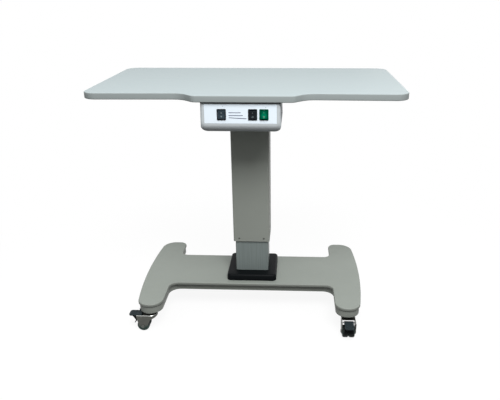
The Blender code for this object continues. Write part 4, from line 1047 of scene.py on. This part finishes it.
def make_wheel(name, hand):
    """One wheel: over the tread and its round shoulder, into the dished face and back through the bore."""
    origin, turn, trail = caster_frame(name)
    low, high, _ = caster_box(name, f"wheel_{hand}")
    radius = (high - low)[2] / 2
    inner, outer = sorted((abs(low[1]), abs(high[1])))
    rim = radius - WHEEL_TREAD
    dish = outer - WHEEL_DISH
    section = rounded([
        (radius, inner, WHEEL_INNER_ROUND),
        (radius, outer, WHEEL_SHOULDER),
        (rim, outer, SMALL_ROUND),
        (rim - WHEEL_DISH, dish, SMALL_ROUND),
        (WHEEL_HUB_RADIUS + SMALL_ROUND, dish, SMALL_ROUND),
        (WHEEL_HUB_RADIUS, outer, SMALL_ROUND),
        (WHEEL_BORE, outer, SMALL_ROUND),
        (WHEEL_BORE, inner, SMALL_ROUND),
    ])
    core = (section[0][:, 0] < radius - WHEEL_BAND).astype(int)
    lay = UPRIGHT.T if hand == "a" else UPRIGHT
    middle = origin + turn @ np.array((trail, 0.0, radius))
    wheel = Skin().add(placed(lathe(section), turn @ lay, middle), core, rows_close=True)
    wheel.make(f"{name}_twin_{hand}", ["wheel_polymer", "wheel_hub"], f"{name}_wheel_{hand}")


def make_swivel_head(name):
    """The swivel's fixed half, turned: riveted kingpin, race, flange and stem."""
    origin, _, _ = caster_frame(name)
    low, high, _ = box_of(f"{name}_swivel_head")
    flange_radius = (high - low)[0] / 2
    flange_top = high[2] - STEM_LENGTH
    race_low = box_of(f"{name}_fork")[1][2] + PANEL_GAP
    pin_top = low[2] + KINGPIN_HEAD_HEIGHT
    profile = rounded([
        (SMALL_ROUND, low[2], 0.0),
        (KINGPIN_HEAD_RADIUS, low[2], KINGPIN_HEAD_ROUND),
        (KINGPIN_HEAD_RADIUS, pin_top, SMALL_ROUND / 2),
        (KINGPIN_RADIUS, pin_top, SMALL_ROUND / 2),
        (KINGPIN_RADIUS, race_low, SMALL_ROUND / 2),
        (RACE_RADIUS, race_low, SMALL_ROUND),
        (flange_radius, flange_top - FLANGE_HEIGHT, SMALL_ROUND),
        (flange_radius, flange_top, SMALL_ROUND),
        (STEM_RADIUS, flange_top, SMALL_ROUND),
        (STEM_RADIUS, high[2], SMALL_ROUND),
        (SMALL_ROUND, high[2], 0.0),
    ], TURNED_STEPS, closed=False)
    head = Skin().add(placed(lathe(profile), offset=origin))
    head.make(f"{name}_swivel", ["zinc"], f"{name}_swivel_head")


def make_rivet(name, node, rod, head, height, proud):
    """A riveted rod, turned: a domed head at each end, which stands out past the solid by proud."""
    origin, turn, _ = caster_frame(name)
    low, high, centre = caster_box(name, node)
    end = (high - low)[1] / 2 + proud
    neck = end - height
    crease = SMALL_ROUND / 3
    profile = rounded(mirrored([
        (SMALL_ROUND, -end, 0.0),
        (head, -end, height),
        (head, -neck, crease),
        (rod, -neck, crease),
    ]), TURNED_STEPS, closed=False)
    rivet = Skin().add(placed(lathe(profile, RIVET_STEPS), turn @ UPRIGHT.T, origin + turn @ centre))
    rivet.make(f"{name}_{node}_rivet", ["zinc"], f"{name}_{node}")


def make_pedal(name):
    """A brake pedal: its side view of hub, shoe and hanging lip carried across, under a ribbed tread.

    The tread is a plate: its plan, with round toe corners, carried up with soft edges.
    """
    origin, turn, _ = caster_frame(name)
    low, high, _ = caster_box(name, "brake_pedal")
    start, toe = low[0], high[0]
    half = max(high[1], -low[1])
    floor, top = low[2], high[2]
    under = top - PEDAL_THICKNESS
    pivot = start + PEDAL_BARREL_RADIUS
    shoe_in, shoe_out = pivot + PEDAL_SHOE_REACH, pivot + PEDAL_SHOE_REACH + PEDAL_SHOE_THICKNESS
    shoe_low = top - PEDAL_BARREL_RADIUS - PEDAL_SHOE_DROP
    barrel_low = top - 2 * PEDAL_BARREL_RADIUS
    lip = pivot + PEDAL_LIP_REACH
    side_view = rounded([
        (start, barrel_low, PEDAL_HUB_ROUND),
        (shoe_in, barrel_low, SMALL_ROUND),
        (shoe_in, shoe_low, SMALL_ROUND),
        (shoe_out, shoe_low, SMALL_ROUND),
        (lip - PEDAL_LIP_THICKNESS, floor, SMALL_ROUND),
        (lip, floor, SMALL_ROUND),
        (shoe_out + PEDAL_LIP_THICKNESS, shoe_low, SMALL_ROUND),
        (pivot + PEDAL_GUSSET_REACH, under, SMALL_ROUND),
        (pivot + PEDAL_GUSSET_REACH, under + PEDAL_THICKNESS / 2, SMALL_ROUND),
        (start, top, PEDAL_HUB_ROUND),
    ])
    reach = CAP_REACH * PEDAL_SIDE_ROUND
    width = wrapped((-half, PEDAL_SIDE_ROUND, reach), (half, PEDAL_SIDE_ROUND, reach), LIP_STEPS)
    plan = rounded(mirrored([(pivot, -half, PEDAL_HEEL_CORNER), (toe, -half, PEDAL_TOE_CORNER)]))
    edge = wrapped((under, SMALL_ROUND, 2 * SMALL_ROUND), (top, PEDAL_EDGE_ROUND, 2 * PEDAL_EDGE_ROUND))
    pedal = Skin()
    pedal.add(placed(placed(carried(side_view, width), UPRIGHT), turn, origin))
    pedal.add(placed(carried(plan, edge), turn, origin), 1)
    crown = rounded([
        (0.0, -PEDAL_RIB_HEIGHT, 0.0),
        (0.0, PEDAL_RIB_HEIGHT, PEDAL_RIB_WIDTH / 3),
        (PEDAL_RIB_CROWN_REACH, PEDAL_RIB_HEIGHT, 0.0),
    ], LIP_STEPS, closed=False)
    rib_size = (PEDAL_RIB_WIDTH, 2 * (half - PEDAL_RIB_PITCH))
    for index in range(PEDAL_RIBS):
        x = toe - PEDAL_TOE_CORNER - index * PEDAL_RIB_PITCH
        rib = rectangle((x, 0.0), rib_size, PEDAL_RIB_END_ROUND, PEDAL_RIB_STEPS)
        pedal.add(placed(carried(rib, crown), turn, origin + np.array((0.0, 0.0, top))), 1)
    pedal.make(f"{name}_pedal", ["black_plastic", "pedal_tread"], f"{name}_brake_pedal")


def fork_lower_edge(trail, side, rear, top, axle):
    """The side view's lower edge, from the nose down to the axle's boss and up to the open end."""
    points, _ = rounded([
        (-side, top, 0.0),
        (-side, top - FORK_APRON, FORK_EDGE),
        (-FORK_SHEET, top - 2 * FORK_APRON, FORK_BOSS),
        (trail - FORK_BOSS, axle - FORK_BOSS_DROP, FORK_BOSS),
        (trail + FORK_BOSS, axle - FORK_BOSS_DROP, FORK_BOSS),
        (rear, top - FORK_APRON, FORK_BOSS),
        (rear, top, 0.0),
    ], closed=False)
    return points[1:-1].T


def make_fork(name):
    """The pressed fork: its sheet's section, up the wall, over the bend and back inside, carried round a U.

    The U runs up one cheek, round the nose in a half circle and down the other cheek. The wall's lower edge
    follows the side view. Over the cheeks the bend is cut off at the sheet's inner side, and under the hood
    it goes on to a flat top, bored for the kingpin. Rim marks grow to 1.4 in the middle of the bend, where the
    finish paints a highlight.
    """
    origin, turn, trail = caster_frame(name)
    near, far, _ = caster_box(name, "fork")
    rear, top = far[0], far[2]
    side = max(far[1], -near[1])
    cheek = np.linspace(rear, FORK_HOOD_END + FORK_EDGE / 2, FORK_STEPS)
    hood = np.linspace(FORK_HOOD_END, 0.0, FORK_STEPS)
    nose = np.linspace(math.pi / 2, 3 * math.pi / 2, 2 * FORK_STEPS)[1:-1]
    along = np.concatenate((cheek, hood, 0.0 * nose, hood[::-1], cheek[::-1]))
    heading = np.repeat((math.pi / 2, 3 * math.pi / 2), 2 * FORK_STEPS)
    heading = np.insert(heading, 2 * FORK_STEPS, nose)
    outward = np.stack((np.cos(heading), np.sin(heading)), axis=-1)
    wall = side * outward + np.stack((along, 0.0 * along), axis=-1)
    covered = (np.arange(len(wall)) >= FORK_STEPS) & (np.arange(len(wall)) < len(wall) - FORK_STEPS)
    low = np.interp(wall[:, 0], *fork_lower_edge(trail, side, rear, top, box_of(f"{name}_axle")[2][2]))

    share = np.linspace(0.0, 1.0, ARC_STEPS + 1)
    cut = math.acos(1.0 - (FORK_SHEET - FORK_EDGE) / FORK_BEND)
    reach = np.where(covered, math.pi / 2, cut)[:, None]
    outer_inset = FORK_BEND * (1.0 - np.cos(reach * share))
    outer_height = FORK_BEND * np.sin(reach * share)
    inner_round = np.where(covered, FORK_BEND - FORK_SHEET, 0.0)[:, None]
    cut_tall = FORK_BEND * math.sin(cut) - FORK_EDGE / 2
    inner_tall = np.where(covered, FORK_BEND - FORK_SHEET, cut_tall)[:, None]
    back = math.pi / 2 * share[::-1]
    inner_inset = FORK_SHEET + inner_round * (1.0 - np.cos(back))
    inner_height = inner_tall * np.sin(back)
    feet = np.repeat(low[:, None] - top + FORK_BEND, 2, axis=1) + (0.0, FORK_EDGE)
    insets = (np.broadcast_to((FORK_EDGE, 0.0), feet.shape), outer_inset, inner_inset,
              np.broadcast_to((FORK_SHEET, FORK_SHEET - FORK_EDGE), feet.shape))
    inset = np.concatenate(insets, axis=1)
    height = np.concatenate((feet, outer_height, inner_height, feet[:, ::-1]), axis=1)
    flat = wall[:, None] - inset[..., None] * outward[:, None]
    grid = np.concatenate((flat, (top - FORK_BEND + height)[..., None]), axis=2)
    rim = 2.0 * np.minimum(1.0 - inset / FORK_BEND, height / FORK_BEND)

    half = side - FORK_BEND + FORK_EDGE
    ends = [(-half, -half, half - FORK_EDGE), (FORK_HOOD_END, -half, FORK_EDGE)]
    plate = rounded(mirrored(ends), FORK_STEPS)
    fork = Skin()
    fork.add(placed(grid[:, ::-1], turn, origin), marks=np.clip(rim[:, ::-1], 0.0, None))
    bore = [FORK_BORE * plate[0] / np.linalg.norm(plate[0], axis=1)[:, None]]
    under = top - FORK_SHEET
    rows = [lifted(plate, under), lifted(plate, top), lifted(bore, top), lifted(bore, under)]
    fork.add(placed(np.concatenate(rows), turn, origin), rows_close=True)
    fork.make(f"{name}_fork_pressing", ["fork_zinc"], f"{name}_fork")


def make_springs(name):
    """A return spring on each side of the pedal's hub: a circle carried along a helix round the pin."""
    origin, turn, _ = caster_frame(name)
    pedal_low, pedal_high, _ = caster_box(name, "brake_pedal")
    pin_low, pin_high, centre = caster_box(name, "pedal_pin")
    coil = (pin_high - pin_low)[2] / 2 + SPRING_WIRE
    angle = np.linspace(0.0, SPRING_TURNS * math.tau, SPRING_TURNS * SPRING_TURN_STEPS)[:, None]
    round_wire = np.linspace(0.0, math.tau, SPRING_WIRE_STEPS, endpoint=False)[None]
    out = coil + SPRING_WIRE * np.cos(round_wire)
    start = max(pedal_high[1], -pedal_low[1]) + 2 * SPRING_WIRE
    along = start + angle / math.tau * SPRING_PITCH + SPRING_WIRE * np.sin(round_wire)
    for side, hand in ((1.0, "a"), (-1.0, "b")):
        grid = np.stack((out * np.cos(side * angle), side * along, out * np.sin(side * angle)), axis=-1)
        spring = Skin().add(placed(grid + (centre[0], 0.0, centre[2]), turn, origin))
        spring.make(f"{name}_return_spring_{hand}", ["steel"], body=f"{name}_fork", slot="zinc")


def make_caster(name):
    """One caster, dressed piece by piece."""
    make_swivel_head(name)
    make_fork(name)
    make_rivet(name, "axle", AXLE_RADIUS, RIVET_RADIUS, RIVET_HEIGHT, 0.0)
    for hand in ("a", "b"):
        make_wheel(name, hand)
    if f"{name}_brake_pedal" in nodes:
        make_pedal(name)
        make_springs(name)
        make_rivet(name, "pedal_pin", PIN_RADIUS, PIN_HEAD_RADIUS, PIN_HEAD_HEIGHT, PIN_HEAD_HEIGHT)


def dress_nodes():
    """Gives each solid the finish of its slot in the record."""
    for name, solid in nodes.items():
        solid.data.materials.clear()
        solid.data.materials.append(FINISHES[SLOTS[name]])


# Stage

def make_sky():
    """A white world whose light grows from the horizon to the zenith."""
    world = bpy.data.worlds.new("room")
    bpy.context.scene.world = world
    sky = Tree(world, "Background", Color=WHITE)
    toward = sky.node("TexCoord", {}, {}, "Generated")
    height = sky.node("SeparateXYZ", {}, {0: toward}, "Z")
    ends = {"Value": height, "To Min": SKY_AT_HORIZON, "To Max": SKY_OVERHEAD}
    sky.feed("Strength", sky.node("MapRange", {}, ends))
    sky.show(sky.eye(), sky.node("Background", {}, {"Color": WHITE}), "World Output")


def make_floor():
    """A pale floor that shows white to the eye and still takes the object's shadow."""
    half = FLOOR_HALF_WIDTH
    data = bpy.data.meshes.new("floor")
    corners = [(-half, -half, 0.0), (half, -half, 0.0), (half, half, 0.0), (-half, half, 0.0)]
    data.from_pydata(corners, [], [(0, 1, 2, 3)])
    floor = bpy.data.objects.new("floor", data)
    bpy.context.scene.collection.objects.link(floor)
    pale = Finish("pale_floor", Roughness=FLOOR_ROUGHNESS, Specular_IOR_Level=0.0)
    pale.feed("Base Color", pale.mix(pale.eye(), 3 * (FLOOR_BOUNCE,), WHITE[:3]))
    distance = pale.node("VectorMath", {"operation": "LENGTH"}, {0: pale.place()}, "Value")
    fade = distance.rise(*SHADOW_REACH) * (1.0 - FLOOR_GLOW) + FLOOR_GLOW
    pale.show(pale.eye() * fade, pale.node("Emission", {}, {}), "Material Output")
    data.materials.append(pale.material)


def make_lamps():
    """Large soft lamps, each turned to face the table."""
    for name, watts, edge, place in LAMPS:
        data = bpy.data.lights.new(name, "AREA")
        data.energy = watts
        data.size = edge
        lamp = bpy.data.objects.new(name, data)
        lamp.location = place
        facing = Vector(place) - Vector(LAMP_TARGET)
        lamp.rotation_euler = facing.to_track_quat("Z", "Y").to_euler()
        bpy.context.scene.collection.objects.link(lamp)


def make_camera():
    """The photograph's viewpoint: turned by yaw, dip and roll, with the picture shifted."""
    data = bpy.data.cameras.new("camera")
    data.sensor_fit = "HORIZONTAL"
    data.sensor_width = CAMERA_SENSOR_MM
    data.lens = CAMERA_LENS_MM
    data.shift_x, data.shift_y = CAMERA_SHIFT
    camera = bpy.data.objects.new("camera", data)
    turn = (Matrix.Rotation(-CAMERA_YAW, 4, "Z")
            @ Matrix.Rotation(math.pi / 2 - CAMERA_DIP, 4, "X")
            @ Matrix.Rotation(CAMERA_ROLL, 4, "Z"))
    camera.matrix_world = Matrix.Translation(CAMERA_EYE) @ turn
    bpy.context.scene.collection.objects.link(camera)
    bpy.context.scene.camera = camera


dress_nodes()
make_tabletop()
for column in ("outer_column", "inner_column"):
    make_tube(column)
make_collar()
make_base_cover()
make_frame_rim()
make_control_box()
make_switch("up_down", "switch_black")
make_switch("outlet", "switch_black")
make_switch("mains", "green_bezel", "green_lens")
make_rocker("up_down", "rocker_black", 0.0, arrow_mark(1), arrow_mark(-1))
make_rocker("outlet", "switch_black", ROCKER_TILT, bar_mark(), ring_mark())
make_rocker("mains", "green_lens", -ROCKER_TILT, bar_mark(), ring_mark())
for node, edge in SOFTENED.items():
    softened(node, edge)
make_inlet_pins()
make_plate_screws()
for face, side in ((-1, "front"), (1, "rear")):
    for hand in ("left", "right"):
        make_glide_screw(f"glide_screw_{side}_{hand}", face)
for caster in ("front_left", "front_right", "rear_left", "rear_right"):
    make_caster(caster)
make_sky()
make_floor()
make_lamps()
make_camera()
bpy.context.scene.view_settings.view_transform = "Standard"
